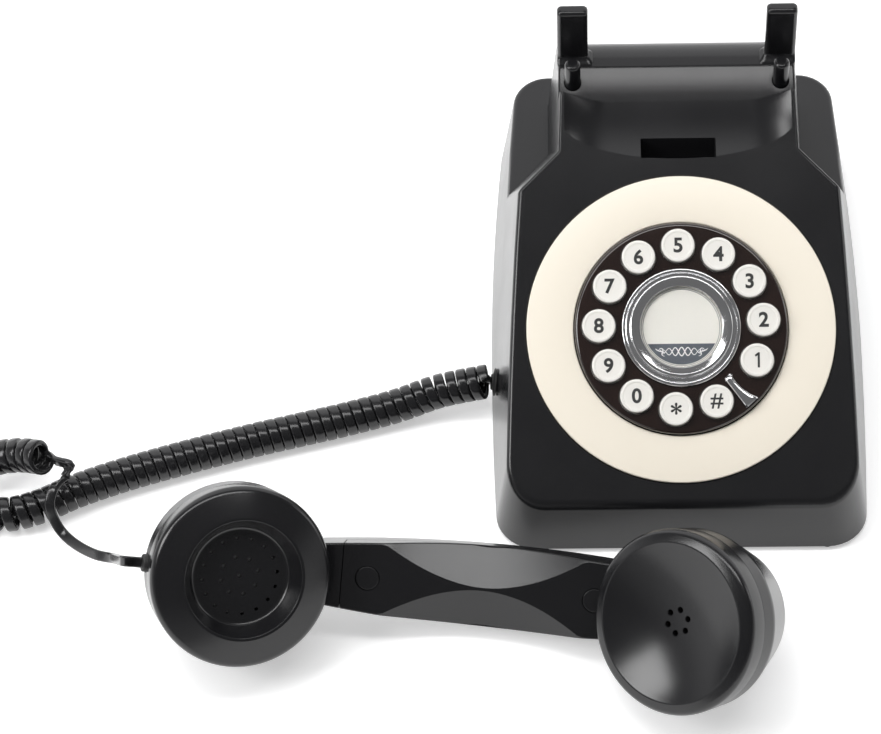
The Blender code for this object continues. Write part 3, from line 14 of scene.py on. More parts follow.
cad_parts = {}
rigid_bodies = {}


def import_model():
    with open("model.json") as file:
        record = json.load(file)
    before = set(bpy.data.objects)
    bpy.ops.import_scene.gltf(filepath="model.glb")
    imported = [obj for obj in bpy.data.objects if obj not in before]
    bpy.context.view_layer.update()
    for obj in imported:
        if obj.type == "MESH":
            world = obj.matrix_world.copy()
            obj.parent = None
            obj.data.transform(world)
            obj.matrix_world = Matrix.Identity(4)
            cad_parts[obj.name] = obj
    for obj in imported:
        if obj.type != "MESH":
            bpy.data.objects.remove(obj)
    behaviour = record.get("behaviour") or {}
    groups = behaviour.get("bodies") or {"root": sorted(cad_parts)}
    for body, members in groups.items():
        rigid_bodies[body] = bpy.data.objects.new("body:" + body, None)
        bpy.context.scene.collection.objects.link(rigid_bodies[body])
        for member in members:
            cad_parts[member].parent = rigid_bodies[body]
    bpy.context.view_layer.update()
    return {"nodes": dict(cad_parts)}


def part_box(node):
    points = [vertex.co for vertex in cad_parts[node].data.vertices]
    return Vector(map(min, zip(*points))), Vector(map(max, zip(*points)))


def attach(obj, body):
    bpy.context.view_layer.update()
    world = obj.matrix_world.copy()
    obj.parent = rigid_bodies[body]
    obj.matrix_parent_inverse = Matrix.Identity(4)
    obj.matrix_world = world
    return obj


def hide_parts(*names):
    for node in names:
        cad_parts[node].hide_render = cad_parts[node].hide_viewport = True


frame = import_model()
print("nodes in the frame:", len(frame["nodes"]))

# %% [markdown]
# ## Working units and places
# The pieces are drawn in millimetres, with the middle of the body's front edge at zero, because such
# numbers are easy to check against a ruler. One matrix then takes a finished piece to metres and to its
# place in the frame. Pieces that touch stand 0.3 mm apart, as loosely fitted mouldings do.

# %% Places
body_low, body_high = (Vector(corner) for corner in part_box("body_shell"))
start_place = Vector(((body_low.x + body_high.x) / 2, body_low.y, 0))
to_row = Matrix.Translation(start_place) @ Matrix.Scale(0.001, 4)

face_tilt = radians(27.87)
crease_height = 27.7
front_draft = radians(4.6)
base_height = 2.4
crease_depth = (crease_height - base_height) * tan(front_draft)
gap = 0.3


def face_point(place, lift=0.0):
    """(y, z) on the sloped face, at a distance up the slope from its front crease."""
    return (
        crease_depth + place * cos(face_tilt) - lift * sin(face_tilt),
        crease_height + place * sin(face_tilt) + lift * cos(face_tilt),
    )


face = Matrix.Translation((0, *face_point(64.2))) @ Matrix.Rotation(face_tilt, 4, "X")
handset = (
    Matrix.Translation((-158.0, -34.2, 40.9))
    @ Matrix.Rotation(radians(-7.55), 4, "Z")
    @ Matrix.Rotation(radians(41.5), 4, "X")
)
spacing = 155.3
lean_mouth = Matrix.Rotation(radians(21.8), 4, "Y")
lean_ear = Matrix.Translation((spacing, 0, 0)) @ Matrix.Rotation(radians(-29.5), 4, "Y")
mouth_cup = handset @ lean_mouth
ear_cup = handset @ lean_ear
print("body starts at", tuple(round(value, 4) for value in start_place))

# %% [markdown]
# ## Camera
# The camera looks down at 55 degrees from a little to the left, a long way off with a long lens, so that
# the sides of the body hardly converge.

# %% Camera
camera_height = radians(55.396)
camera_turn = radians(-3.022)
camera_roll = radians(-3.085)
ahead = Vector(
    (sin(camera_turn) * cos(camera_height), cos(camera_turn) * cos(camera_height), -sin(camera_height))
)
level = Vector((cos(camera_turn), -sin(camera_turn), 0))
above = level.cross(ahead)
camera_right = cos(camera_roll) * level + sin(camera_roll) * above
camera_up = cos(camera_roll) * above - sin(camera_roll) * level
camera_data = bpy.data.cameras.new("camera")
camera_data.lens = 165.11
camera_data.sensor_width = 36
camera_data.clip_end = 20
camera = bpy.data.objects.new("camera", camera_data)
bpy.context.scene.collection.objects.link(camera)
turned_to = Matrix((camera_right, camera_up, -ahead)).transposed().to_4x4()
camera.matrix_world = Matrix.Translation(to_row @ Vector((-43.3932, -783.6607, 1257.7435))) @ turned_to
bpy.context.scene.camera = camera
print("camera at", tuple(round(value, 3) for value in camera.matrix_world.translation))

# %% [markdown]
# ## Helpers for modelling
# Blender's operators act on what is selected, so each helper first clears the selection. `spun` turns an
# outline round an axis as a lathe does, `solid` builds a form through loops of equally many points, and
# `trimmed` cuts or joins with a Boolean modifier that is applied at once. `finished` moves a piece to its
# place, smooths it, and lets it ride on its body in the frame.


# %% Selection and raw meshes
def only(*pieces):
    bpy.ops.object.select_all(action="DESELECT")
    for piece in pieces:
        piece.select_set(True)
    bpy.context.view_layer.objects.active = pieces[0]


def drawn(name, points, edges=(), faces=()):
    mesh = bpy.data.meshes.new(name)
    mesh.from_pydata([tuple(point) for point in points], edges, faces)
    piece = bpy.data.objects.new(name, mesh)
    bpy.context.scene.collection.objects.link(piece)
    only(piece)
    return piece


def tidied(piece, merge=0.002):
    """Merges doubled points and points every face outward."""
    only(piece)
    bpy.ops.object.mode_set(mode="EDIT")
    bpy.ops.mesh.select_all(action="SELECT")
    bpy.ops.mesh.remove_doubles(threshold=merge)
    bpy.ops.mesh.normals_make_consistent(inside=False)
    bpy.ops.object.mode_set(mode="OBJECT")
    return piece


def applied(piece, modifier):
    only(piece)
    bpy.ops.object.modifier_apply(modifier=modifier.name)
    return piece


# %% Forms
def spun(name, outline, steps=96):
    """An outline of (radius, height) points turned about z."""
    edges = [(number, number + 1) for number in range(len(outline) - 1)]
    piece = drawn(name, [(radius, 0, height) for radius, height in outline], edges)
    bpy.ops.object.mode_set(mode="EDIT")
    bpy.ops.mesh.select_all(action="SELECT")
    bpy.ops.mesh.spin(steps=steps, angle=2 * pi, center=(0, 0, 0), axis=(0, 0, 1))
    bpy.ops.object.mode_set(mode="OBJECT")
    return tidied(piece)


def solid(name, loops):
    """A closed form through loops of equally many points."""
    count = len(loops[0])
    faces = [tuple(range(count)), tuple((len(loops) - 1) * count + number for number in range(count))]
    for row in range(len(loops) - 1):
        for number in range(count):
            after = (number + 1) % count
            here = row * count
            faces.append((here + number, here + after, here + count + after, here + count + number))
    return tidied(drawn(name, [point for loop in loops for point in loop], (), faces))


def prism(name, outline, half_width):
    """An outline of (y, z) points drawn out along x."""
    return solid(name, [[(side * half_width, y, z) for y, z in outline] for side in (-1, 1)])


def block(name, low, high):
    bpy.ops.object.select_all(action="DESELECT")
    middle = [(a + b) / 2 for a, b in zip(low, high)]
    bpy.ops.mesh.primitive_cube_add(size=1, location=middle)
    piece = bpy.context.active_object
    piece.name = name
    piece.scale = [b - a for a, b in zip(low, high)]
    bpy.ops.object.transform_apply(location=True, rotation=True, scale=True)
    return piece


def rod(radius, low, high, place=None, steps=48):
    bpy.ops.object.select_all(action="DESELECT")
    middle = (0, 0, (low + high) / 2)
    bpy.ops.mesh.primitive_cylinder_add(vertices=steps, radius=radius, depth=high - low, location=middle)
    piece = bpy.context.active_object
    bpy.ops.object.transform_apply(location=True, rotation=True, scale=True)
    if place is not None:
        piece.data.transform(place)
    return piece


# %% Cutting, rounding, finishing
def trimmed(piece, *tools, how="DIFFERENCE"):
    for tool in tools:
        modifier = piece.modifiers.new("Trim", "BOOLEAN")
        modifier.operation = how
        modifier.solver = "EXACT"
        modifier.object = tool
        applied(piece, modifier)
        bpy.data.objects.remove(tool, do_unlink=True)
    return piece


def softened(piece, width, steps=3, angle=40):
    modifier = piece.modifiers.new("Soften", "BEVEL")
    modifier.width = width
    modifier.segments = steps
    modifier.limit_method = "ANGLE"
    modifier.angle_limit = radians(angle)
    return applied(piece, modifier)


def rounded(outline, radii, steps=6):
    """Each corner with a radius becomes an arc that touches both of its sides."""
    made = []
    count = len(outline)
    for number, (corner, radius) in enumerate(zip(outline, radii)):
        if not radius:
            made.append(tuple(corner))
            continue
        here = Vector(corner)
        before = (Vector(outline[number - 1]) - here).normalized()
        after = (Vector(outline[(number + 1) % count]) - here).normalized()
        half = before.angle(after) / 2
        middle = here + (before + after).normalized() * (radius / sin(half))
        start = here + before * (radius / tan(half)) - middle
        turn = pi - 2 * half
        if before.x * after.y - before.y * after.x > 0:
            turn = -turn
        for step in range(steps + 1):
            angle = turn * step / steps
            made.append(
                (
                    middle.x + start.x * cos(angle) - start.y * sin(angle),
                    middle.y + start.x * sin(angle) + start.y * cos(angle),
                )
            )
    return made


def finished(piece, body, skin, nodes=(), place=None, angle=32):
    """Puts a piece in the frame, in its finish, on its body, instead of the nodes that it stands for."""
    piece.data.transform(to_row @ place if place is not None else to_row)
    piece.data.materials.clear()
    piece.data.materials.append(skin)
    only(piece)
    bpy.ops.object.shade_smooth_by_angle(angle=radians(angle))
    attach(piece, body)
    if nodes:
        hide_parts(*nodes)
    return piece


def smooth_step(share):
    held = min(max(share, 0.0), 1.0)
    return held * held * (3 - 2 * held)


print("helpers ready")

# %% [markdown]
# ## Cord
# The cord leaves the body's left side through a grommet, lies on the table as one long spring of 55 curls,
# folds back on itself, and runs straight into the mouthpiece. On the real object all of it is one flat
# jacketed cable, wound hot on a rod so that it keeps its curls. So it is one piece here: a flat section
# with round corners, carried along a helix whose middle line follows the route on the table, with its flat
# side outward. The helix is carried along by a frame that never twists, and its curls open in a bend as
# those of a spring do.

# %% Cord: the route of its middle line
side_draft = radians(8.0)
wire = 3.3
band_wide, band_thick = 3.8, 2.2
coil_width = 13.0
curls = 55
curl_steps = 22
outlet_way = Vector((-cos(side_draft), 0, sin(side_draft)))
widest = 90.0
half_width, front_bow, rear_bow = 69.7, 2.4, 4.6
outlet_spot = Vector((0, 65.5, 15.0))
wall_bow = front_bow * ((widest - outlet_spot.y) / widest) ** 2
outlet_spot.x = -(half_width - wall_bow - (outlet_spot.z - base_height) * tan(side_draft))
outlet = Matrix.Translation(outlet_spot) @ outlet_way.to_track_quat("Z", "X").to_matrix().to_4x4()
inlet_turn = radians(3.0)
inlet_way = Vector((-cos(inlet_turn), sin(inlet_turn), 0))
cup_radius = 32.0
inlet = (
    mouth_cup
    @ Matrix.Translation(inlet_way * cup_radius + Vector((0, 0, -10.0)))
    @ inlet_way.to_track_quat("Z", "X").to_matrix().to_4x4()
)
outlet_nose, inlet_nose = 2.0, 1.5
cord_exit = outlet @ Vector((0, 0, outlet_nose + gap))
lead_face = inlet @ Vector((0, 0, inlet_nose + gap))
lead_way = (inlet.to_3x3() @ Vector((0, 0, 1))).normalized()
coil_guides = [
    Vector((-88.8, 64.2, 11.5)),
    Vector((-105.0, 60.2, 7.8)),
    Vector((-122.5, 55.5, 6.7)),
    Vector((-141.0, 50.6, 6.7)),
    Vector((-160.0, 45.6, 6.7)),
    Vector((-182.4, 39.0, 6.7)),
    Vector((-205.0, 31.6, 6.7)),
    Vector((-222.6, 24.6, 6.7)),
    Vector((-236.5, 17.6, 6.7)),
    Vector((-249.0, 14.4, 6.7)),
    Vector((-259.5, 17.6, 6.9)),
    Vector((-262.6, 27.5, 7.8)),
    Vector((-255.6, 35.6, 10.2)),
    Vector((-245.0, 35.6, 14.0)),
]
coil_end = Vector((-235.0, 31.2, 19.0))
coil_end_way = Vector((0.86, -0.42, 0.28)).normalized()
lead_guides = [
    Vector((-224.6, 24.6, 21.4)),
    Vector((-226.0, 20.6, 20.6)),
    Vector((-229.8, 17.4, 18.6)),
    Vector((-231.2, 12.6, 15.6)),
    Vector((-229.8, 9.2, 10.4)),
    Vector((-226.4, 5.2, 7.0)),
    Vector((-220.4, -1.4, 9.4)),
    Vector((-213.0, -8.4, 14.6)),
    Vector((-205.4, -14.4, 21.6)),
]
for title, spot in (("cord exit", cord_exit), ("lead face", lead_face)):
    print(title, tuple(round(value, 1) for value in spot))


# %% Cord: smooth route and helix
short_start = 0.6


def straight_start(spot, way, length=wire):
    return [spot + way * length * step for step in range(3)]


def smooth_route(spots, spacing):
    """Points along a smooth curve through the spots, straight at each end, and the run to each."""
    guides = [2 * spots[0] - spots[1], *spots, 2 * spots[-1] - spots[-2]]
    fine = []
    for before, start, end, after in zip(guides, guides[1:], guides[2:], guides[3:]):
        for step in range(40):
            share = step / 40
            bend = 2 * before - 5 * start + 4 * end - after
            twist = 3 * start - before - 3 * end + after
            fine.append((2 * start + (end - before) * share + bend * share**2 + twist * share**3) / 2)
    fine = np.array([tuple(point) for point in [*fine, spots[-1]]])
    run = np.concatenate([[0], np.cumsum(np.linalg.norm(np.diff(fine, axis=0), axis=1))])
    even = np.linspace(wire, run[-1] - wire, round(run[-1] / spacing))
    even = np.concatenate([[0], even, run[-1:]])
    return np.stack([np.interp(even, run, fine[:, axis]) for axis in range(3)], axis=1), even


def unit(rows):
    return rows / np.linalg.norm(rows, axis=1, keepdims=True)


def curled(route, run, run_in=4.0, start_run_in=2.4):
    """The helix round a route, which opens to its full width over a short run in at each end."""
    radius = (coil_width - band_thick) / 2
    ways = unit(np.gradient(route, run, axis=0))
    bends = np.linalg.norm(np.gradient(ways, run, axis=0), axis=1)
    sides = [np.array(Vector(ways[0]).orthogonal().normalized())]
    for way in ways[1:]:
        side = sides[-1] - way * (sides[-1] @ way)
        sides.append(side / np.linalg.norm(side))
    sides = np.array(sides)
    from_start, from_end = (run - short_start) / start_run_in, (run[-1] - run - wire) / run_in
    risen = np.clip(np.minimum(from_start, from_end), 0, 1)
    risen = risen * risen * (3 - 2 * risen)
    rate = risen * np.clip(1 - bends * radius, 0.25, 1)
    turns = np.concatenate([[0], np.cumsum((rate[1:] + rate[:-1]) / 2 * np.diff(run))])
    turns *= curls / turns[-1]
    angles = 2 * pi * turns
    radial = sides * np.cos(angles)[:, None] + np.cross(ways, sides) * np.sin(angles)[:, None]
    helix = route + radius * risen[:, None] * radial
    even = np.interp(np.linspace(0, turns[-1], curls * curl_steps + 1), turns, run)
    spots = np.concatenate([[0], np.maximum.accumulate(np.maximum(even, short_start)), [run[-1]]])
    spots = spots[np.concatenate([[True], np.diff(spots) > 1e-6])]
    read = [[np.interp(spots, run, rows[:, axis]) for axis in range(3)] for rows in (helix, radial)]
    return [np.stack(columns, axis=1) for columns in read]


end_face = coil_end + coil_end_way * 2 * wire
coil_spacing, lead_spacing = 0.1, 1.0
coil_spots = straight_start(cord_exit, outlet_way, short_start) + coil_guides
coil_spots += straight_start(end_face, -coil_end_way)[::-1]
coil, coil_outward = curled(*smooth_route(coil_spots, coil_spacing))
lead_spots = straight_start(end_face, coil_end_way) + lead_guides + straight_start(lead_face, lead_way)[::-1]
lead = smooth_route(lead_spots, lead_spacing)[0][1:]
line = np.concatenate([coil, lead])
run = np.concatenate([[0], np.cumsum(np.linalg.norm(np.diff(line, axis=0), axis=1))])

# %% Cord: which way its flat side faces
untwist_length = 30.0
lead_flat_way = np.array((-0.25, -0.55, 0.8))
tangents = unit(np.gradient(line, run, axis=0))
lead_run = np.clip((run[len(coil) :] - run[len(coil)]) / untwist_length, 0, 1)[:, None]
lead_outward = coil_outward[-1] * (1 - lead_run) + lead_flat_way * lead_run
outward = np.concatenate([coil_outward, lead_outward])
outward = unit(outward - tangents * (outward * tangents).sum(axis=1, keepdims=True))
across = np.cross(tangents, outward)
print("flat side turned at", len(outward), "places")

# %% Cord: the jacket
half_wide, half_thick, corner = band_wide / 2, band_thick / 2, 0.75
signs = ((-1, -1), (1, -1), (1, 1), (-1, 1))
section = rounded([(half_wide * a, half_thick * b) for a, b in signs], [corner] * 4, 3)
loops = [[point + side * b + up * a for b, a in section] for point, side, up in zip(line, across, outward)]
curly_cord = solid("curly_cord", loops)
curly_cord.data.transform(to_row)
bpy.ops.object.shade_smooth_by_angle(angle=radians(60))
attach(curly_cord, "telephone_body")
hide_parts("cord_curl", "cord_lead")
print("cord jacket:", len(curly_cord.data.polygons), "faces")

# %% [markdown]
# ## Finishes: what all the plastics share
# Moulded plastic is never quite even. Its gloss drifts a little from place to place, its skin has a very
# fine texture, and a little pale dust lies on what faces up. These effects are groups, built once and
# placed in each material with its own values. The groups put out only numbers and colours; the shader stays
# in the material.


# %% Node helpers
def new_group(name, inputs, outputs):
    group = bpy.data.node_groups.new(name, "ShaderNodeTree")
    for socket, kind, value in inputs:
        made = group.interface.new_socket(name=socket, in_out="INPUT", socket_type=kind)
        made.default_value = value
    for socket, kind in outputs:
        group.interface.new_socket(name=socket, in_out="OUTPUT", socket_type=kind)
    return group, group.nodes.new("NodeGroupInput"), group.nodes.new("NodeGroupOutput")


def node(tree, kind, **values):
    """A node whose named settings and inputs are given; an input's name may have its spaces written as _."""
    made = tree.nodes.new(kind)
    for name, value in values.items():
        if name in made.bl_rna.properties:
            setattr(made, name, value)
            continue
        socket = made.inputs[int(name[3:])] if name.startswith("in_") else made.inputs[name.replace("_", " ")]
        if isinstance(value, bpy.types.NodeSocket):
            tree.links.new(value, socket)
        else:
            socket.default_value = value
    return made


def maths(tree, operation, *values):
    made = tree.nodes.new("ShaderNodeMath")
    made.operation = operation
    for socket, value in zip(made.inputs, values):
        if isinstance(value, bpy.types.NodeSocket):
            tree.links.new(value, socket)
        else:
            socket.default_value = value
    return made.outputs[0]


def mixed(tree, share, first, second):
    made = tree.nodes.new("ShaderNodeMix")
    made.data_type = "RGBA"
    for socket, value in ((made.inputs[0], share), (made.inputs[6], first), (made.inputs[7], second)):
        if isinstance(value, bpy.types.NodeSocket):
            tree.links.new(value, socket)
        else:
            socket.default_value = (*value, 1) if isinstance(value, tuple) and len(value) == 3 else value
    return made.outputs[2]


# %% Group: fine texture of a moulded skin
grain_group, given, out = new_group(
    "moulded_grain",
    [("Grain Size", "NodeSocketFloat", 0.3), ("Depth", "NodeSocketFloat", 1.0)],
    [("Height", "NodeSocketFloat"), ("Drift", "NodeSocketFloat")],
)
place = node(grain_group, "ShaderNodeTexCoord").outputs["Object"]
finer = maths(grain_group, "DIVIDE", 1000.0, given.outputs["Grain Size"])
fine = node(grain_group, "ShaderNodeTexNoise", Vector=place, Scale=finer, Detail=3.0, Roughness=0.6)
broad = node(grain_group, "ShaderNodeTexNoise", Vector=place, Scale=38.0, Detail=2.0, Roughness=0.5)
height = maths(grain_group, "MULTIPLY", fine.outputs["Fac"], given.outputs["Depth"])
grain_group.links.new(height, out.inputs["Height"])
grain_group.links.new(broad.outputs["Fac"], out.inputs["Drift"])
print("group", grain_group.name)

# %% Group: dust on what faces up, and faint rub marks
dust_group, given, out = new_group(
    "dust_and_rubs",
    [("Dust", "NodeSocketFloat", 0.04), ("Rubs", "NodeSocketFloat", 0.1)],
    [("Dust Mask", "NodeSocketFloat"), ("Rub Mask", "NodeSocketFloat")],
)
place = node(dust_group, "ShaderNodeTexCoord").outputs["Object"]
normal = node(dust_group, "ShaderNodeNewGeometry").outputs["Normal"]
facing = node(dust_group, "ShaderNodeSeparateXYZ", Vector=normal)
upward = node(dust_group, "ShaderNodeMapRange", Value=facing.outputs["Z"], From_Min=0.2, From_Max=1.0)
specks = node(dust_group, "ShaderNodeTexNoise", Vector=place, Scale=900.0, Detail=4.0, Roughness=0.7)
settled = node(dust_group, "ShaderNodeMapRange", Value=specks.outputs["Fac"], From_Min=0.52, From_Max=0.78)
dusty = maths(dust_group, "MULTIPLY", settled.outputs[0], upward.outputs[0])
dusty = maths(dust_group, "MULTIPLY", dusty, given.outputs["Dust"])
stretched = node(
    dust_group, "ShaderNodeMapping", Vector=place, Scale=(60.0, 420.0, 140.0), Rotation=(0.2, 0.5, 0.7)
)
streaks = stretched.outputs[0]
rubs = node(dust_group, "ShaderNodeTexNoise", Vector=streaks, Scale=1.0, Detail=5.0, Roughness=0.65)
worn = node(dust_group, "ShaderNodeMapRange", Value=rubs.outputs["Fac"], From_Min=0.55, From_Max=0.8)
rubbed = maths(dust_group, "MULTIPLY", worn.outputs[0], given.outputs["Rubs"])
dust_group.links.new(dusty, out.inputs["Dust Mask"])
dust_group.links.new(rubbed, out.inputs["Rub Mask"])
print("group", dust_group.name)

# %% [markdown]
# ## Finishes: plastics
# One recipe makes every opaque plastic: a colour and its slightly different shade, a roughness that drifts,
# the fine grain as bump, and dust. The satin black of the shell is nearly mirror-dark, so its look comes
# from roughness. The keypad disc is the same plastic polished, with a clear coat.


# %% A recipe for plastics
dust_colour = (0.45, 0.44, 0.42)


def plastic(name, colour, shade, roughness, spread=0.05, grain=0.3, depth=0.5, dust=0.03, coat=0.0):
    material = bpy.data.materials.new(name)
    material.use_nodes = True
    tree = material.node_tree
    shader = tree.nodes["Principled BSDF"]
    skin = node(tree, "ShaderNodeGroup", node_tree=grain_group, Grain_Size=grain, Depth=depth)
    marks = node(tree, "ShaderNodeGroup", node_tree=dust_group, Dust=dust, Rubs=0.5)
    colours = mixed(tree, skin.outputs["Drift"], colour, shade)
    colours = mixed(tree, marks.outputs["Dust Mask"], colours, dust_colour)
    tree.links.new(colours, shader.inputs["Base Color"])
    drift = node(tree, "ShaderNodeMapRange", Value=skin.outputs["Drift"], From_Min=0.3, From_Max=0.7)
    drift.inputs["To Min"].default_value = roughness - spread / 2
    drift.inputs["To Max"].default_value = roughness + spread / 2
    rougher = maths(tree, "MULTIPLY", marks.outputs["Rub Mask"], spread)
    tree.links.new(maths(tree, "ADD", drift.outputs[0], rougher), shader.inputs["Roughness"])
    bump = node(tree, "ShaderNodeBump", Height=skin.outputs["Height"])
    bump.inputs["Strength"].default_value = 0.35
    bump.inputs["Distance"].default_value = 0.00004
    tree.links.new(bump.outputs["Normal"], shader.inputs["Normal"])
    shader.inputs["Coat Weight"].default_value = coat
    shader.inputs["Coat Roughness"].default_value = 0.05
    return material


black = (0.0075, 0.0075, 0.0085)
satin_black = plastic("satin_black", black, (0.010, 0.010, 0.011), 0.23, spread=0.03, dust=0.012)
cup_black = plastic("cup_black", black, (0.009, 0.009, 0.010), 0.2, spread=0.03, dust=0.01)
warm_black, warm_black_shade = (0.012, 0.007, 0.006), (0.018, 0.009, 0.007)
polished_black = plastic(
    "polished_black", warm_black, warm_black_shade, 0.12, spread=0.03, depth=0.1, dust=0.01, coat=0.6
)
cream = plastic("cream", (0.88, 0.815, 0.70), (0.865, 0.80, 0.68), 0.34, dust=0.0)
white, white_shade = (0.83, 0.81, 0.77), (0.80, 0.78, 0.73)
button_white = plastic("button_white", white, white_shade, 0.24, depth=0.2, dust=0.0, coat=0.3)
ink_black, ink_shade = (0.015, 0.015, 0.015), (0.03, 0.03, 0.03)
digit_black = plastic("digit_black", ink_black, ink_shade, 0.45, depth=0.3, dust=0.0)
rubber, rubber_shade = (0.014, 0.014, 0.014), (0.022, 0.022, 0.022)
rubber_black = plastic("rubber_black", rubber, rubber_shade, 0.55, grain=0.5, depth=1.0)
mat_grey = plastic("mat_grey", (0.30, 0.31, 0.32), (0.24, 0.25, 0.26), 0.6, grain=0.5, depth=0.8)
wrap_blue = plastic("wrap_blue", (0.05, 0.10, 0.24), (0.04, 0.08, 0.20), 0.35, depth=0.2)
print("plastics:", len(bpy.data.materials))

# %% [markdown]
# ## Finishes: the rest
# Chrome is a clear mirror with faint haze. Steel is brushed and a little dull. The card is soft paper with
# fibres. The window is clear plastic with faint rubs. The boards have a glassy green lacquer
# over copper tracks.


# %% Metal
def metal(name, colour, roughness, haze, brushed=0.0):
    material = bpy.data.materials.new(name)
    material.use_nodes = True
    tree = material.node_tree
    shader = tree.nodes["Principled BSDF"]
    shader.inputs["Metallic"].default_value = 1.0
    skin = node(tree, "ShaderNodeGroup", node_tree=grain_group, Grain_Size=0.4, Depth=1.0)
    marks = node(tree, "ShaderNodeGroup", node_tree=dust_group, Dust=0.02, Rubs=1.0)
    darker = tuple(channel * 0.9 for channel in colour)
    tree.links.new(mixed(tree, skin.outputs["Drift"], colour, darker), shader.inputs["Base Color"])
    rough = node(tree, "ShaderNodeMapRange", Value=marks.outputs["Rub Mask"])
    rough.inputs["To Min"].default_value = roughness
    rough.inputs["To Max"].default_value = roughness + haze
    tree.links.new(rough.outputs[0], shader.inputs["Roughness"])
    bump = node(tree, "ShaderNodeBump", Height=skin.outputs["Height"])
    bump.inputs["Strength"].default_value = brushed
    bump.inputs["Distance"].default_value = 0.00003
    tree.links.new(bump.outputs["Normal"], shader.inputs["Normal"])
    return material


chrome = metal("chrome", (0.93, 0.93, 0.94), 0.09, 0.08, 0.05)
steel = metal("steel", (0.56, 0.56, 0.57), 0.28, 0.12, 0.6)
print("metals made")


# %% Paper and window
def paper(name, colour, shade):
    material = bpy.data.materials.new(name)
    material.use_nodes = True
    tree = material.node_tree
    shader = tree.nodes["Principled BSDF"]
    place = node(tree, "ShaderNodeTexCoord").outputs["Object"]
    long_way = (2200.0, 500.0, 900.0)
    laid = node(tree, "ShaderNodeMapping", Vector=place, Scale=long_way, Rotation=(0.0, 0.0, 0.4))
    fibres = node(tree, "ShaderNodeTexNoise", Vector=laid.outputs[0], Scale=1.0, Detail=4.0, Roughness=0.7)
    tree.links.new(mixed(tree, fibres.outputs["Fac"], colour, shade), shader.inputs["Base Color"])
    rough = node(tree, "ShaderNodeMapRange", Value=fibres.outputs["Fac"], To_Min=0.5, To_Max=0.65)
    tree.links.new(rough.outputs[0], shader.inputs["Roughness"])
    bump = node(tree, "ShaderNodeBump", Height=fibres.outputs["Fac"])
    bump.inputs["Strength"].default_value = 0.3
    bump.inputs["Distance"].default_value = 0.00003
    tree.links.new(bump.outputs["Normal"], shader.inputs["Normal"])
    return material


card_cream = paper("card_cream", (0.86, 0.84, 0.78), (0.82, 0.80, 0.73))
card_slate = paper("card_slate", (0.085, 0.10, 0.12), (0.11, 0.125, 0.145))
card_white = paper("card_white", (0.88, 0.88, 0.87), (0.82, 0.82, 0.81))

window_clear = bpy.data.materials.new("window_clear")
window_clear.use_nodes = True
glass = window_clear.node_tree.nodes["Principled BSDF"]
glass.inputs["Base Color"].default_value = (1, 1, 1, 1)
glass.inputs["Transmission Weight"].default_value = 1.0
glass.inputs["IOR"].default_value = 1.1
tree = window_clear.node_tree
haze = node(tree, "ShaderNodeGroup", node_tree=dust_group, Dust=0.0, Rubs=1.0)
rough = node(tree, "ShaderNodeMapRange", Value=haze.outputs["Rub Mask"], To_Min=0.02, To_Max=0.08)
tree.links.new(rough.outputs[0], glass.inputs["Roughness"])
print("paper and window made")


# %% Circuit boards
def board(name):
    """Green lacquer over straight copper tracks and a few round pads."""
    material = bpy.data.materials.new(name)
    material.use_nodes = True
    tree = material.node_tree
    shader = tree.nodes["Principled BSDF"]
    place = node(tree, "ShaderNodeTexCoord").outputs["Object"]
    tracks = node(tree, "ShaderNodeTexBrick", Vector=place, Scale=260.0, Mortar_Size=0.03, Bias=-0.4)
    pads = node(tree, "ShaderNodeTexVoronoi", Vector=place, Scale=210.0)
    from_pad = pads.outputs["Distance"]
    padded = node(
        tree, "ShaderNodeMapRange", Value=from_pad, From_Min=0.16, From_Max=0.2, To_Min=1.0, To_Max=0.0
    )
    green = mixed(tree, tracks.outputs["Fac"], (0.012, 0.10, 0.035), (0.05, 0.20, 0.07))
    tree.links.new(mixed(tree, padded.outputs[0], green, (0.62, 0.60, 0.55)), shader.inputs["Base Color"])
    rough = node(tree, "ShaderNodeMapRange", Value=padded.outputs[0], To_Min=0.3, To_Max=0.45)
    tree.links.new(rough.outputs[0], shader.inputs["Roughness"])
    return material


board_green = board("board_green")
print("materials:", len(bpy.data.materials))

# %% [markdown]
# ## Light, floor and background
# The object lies on a white sweep in a bright studio. White walls stand all round, so the world is bright
# behind the object and near the horizon, and dark overhead and on the camera's side: that is what black,
# half glossy plastic shows. A long lamp on top and a soft one at each side draw the highlights on the
# edges, on the handle and in the cups. Two more lamps overhead, which show in no mirror, light the pale
# pieces evenly. The floor is white to the camera and to mirrors, and keeps the soft shadows.

# %% World
world = bpy.data.worlds.new("studio")
bpy.context.scene.world = world
world.use_nodes = True
sky = world.node_tree
sky.nodes.clear()
split = node(sky, "ShaderNodeSeparateXYZ", Vector=node(sky, "ShaderNodeTexCoord").outputs["Generated"])
behind = node(sky, "ShaderNodeMapRange", Value=split.outputs["Y"], From_Min=0.42, From_Max=0.62)
behind.inputs["To Min"].default_value = 0.14
behind.inputs["To Max"].default_value = 1.35
low_down = node(sky, "ShaderNodeMapRange", Value=split.outputs["Z"], From_Min=0.5, From_Max=0.12)
aside = node(sky, "ShaderNodeMapRange", Value=split.outputs["Y"], From_Min=-0.85, From_Max=-0.15)
aside.inputs["To Min"].default_value = 0.4
walls = maths(sky, "MULTIPLY", low_down.outputs[0], aside.outputs[0])
brightness = maths(sky, "MAXIMUM", walls, behind.outputs[0])
rays = node(sky, "ShaderNodeLightPath")
lit = node(sky, "ShaderNodeBackground", Color=(1.0, 1.0, 1.01, 1), Strength=brightness)
plain = node(sky, "ShaderNodeBackground", Color=(1, 1, 1, 1), Strength=1.0)
looking = rays.outputs["Is Camera Ray"]
choice = node(sky, "ShaderNodeMixShader", in_0=looking, in_1=lit.outputs[0], in_2=plain.outputs[0])
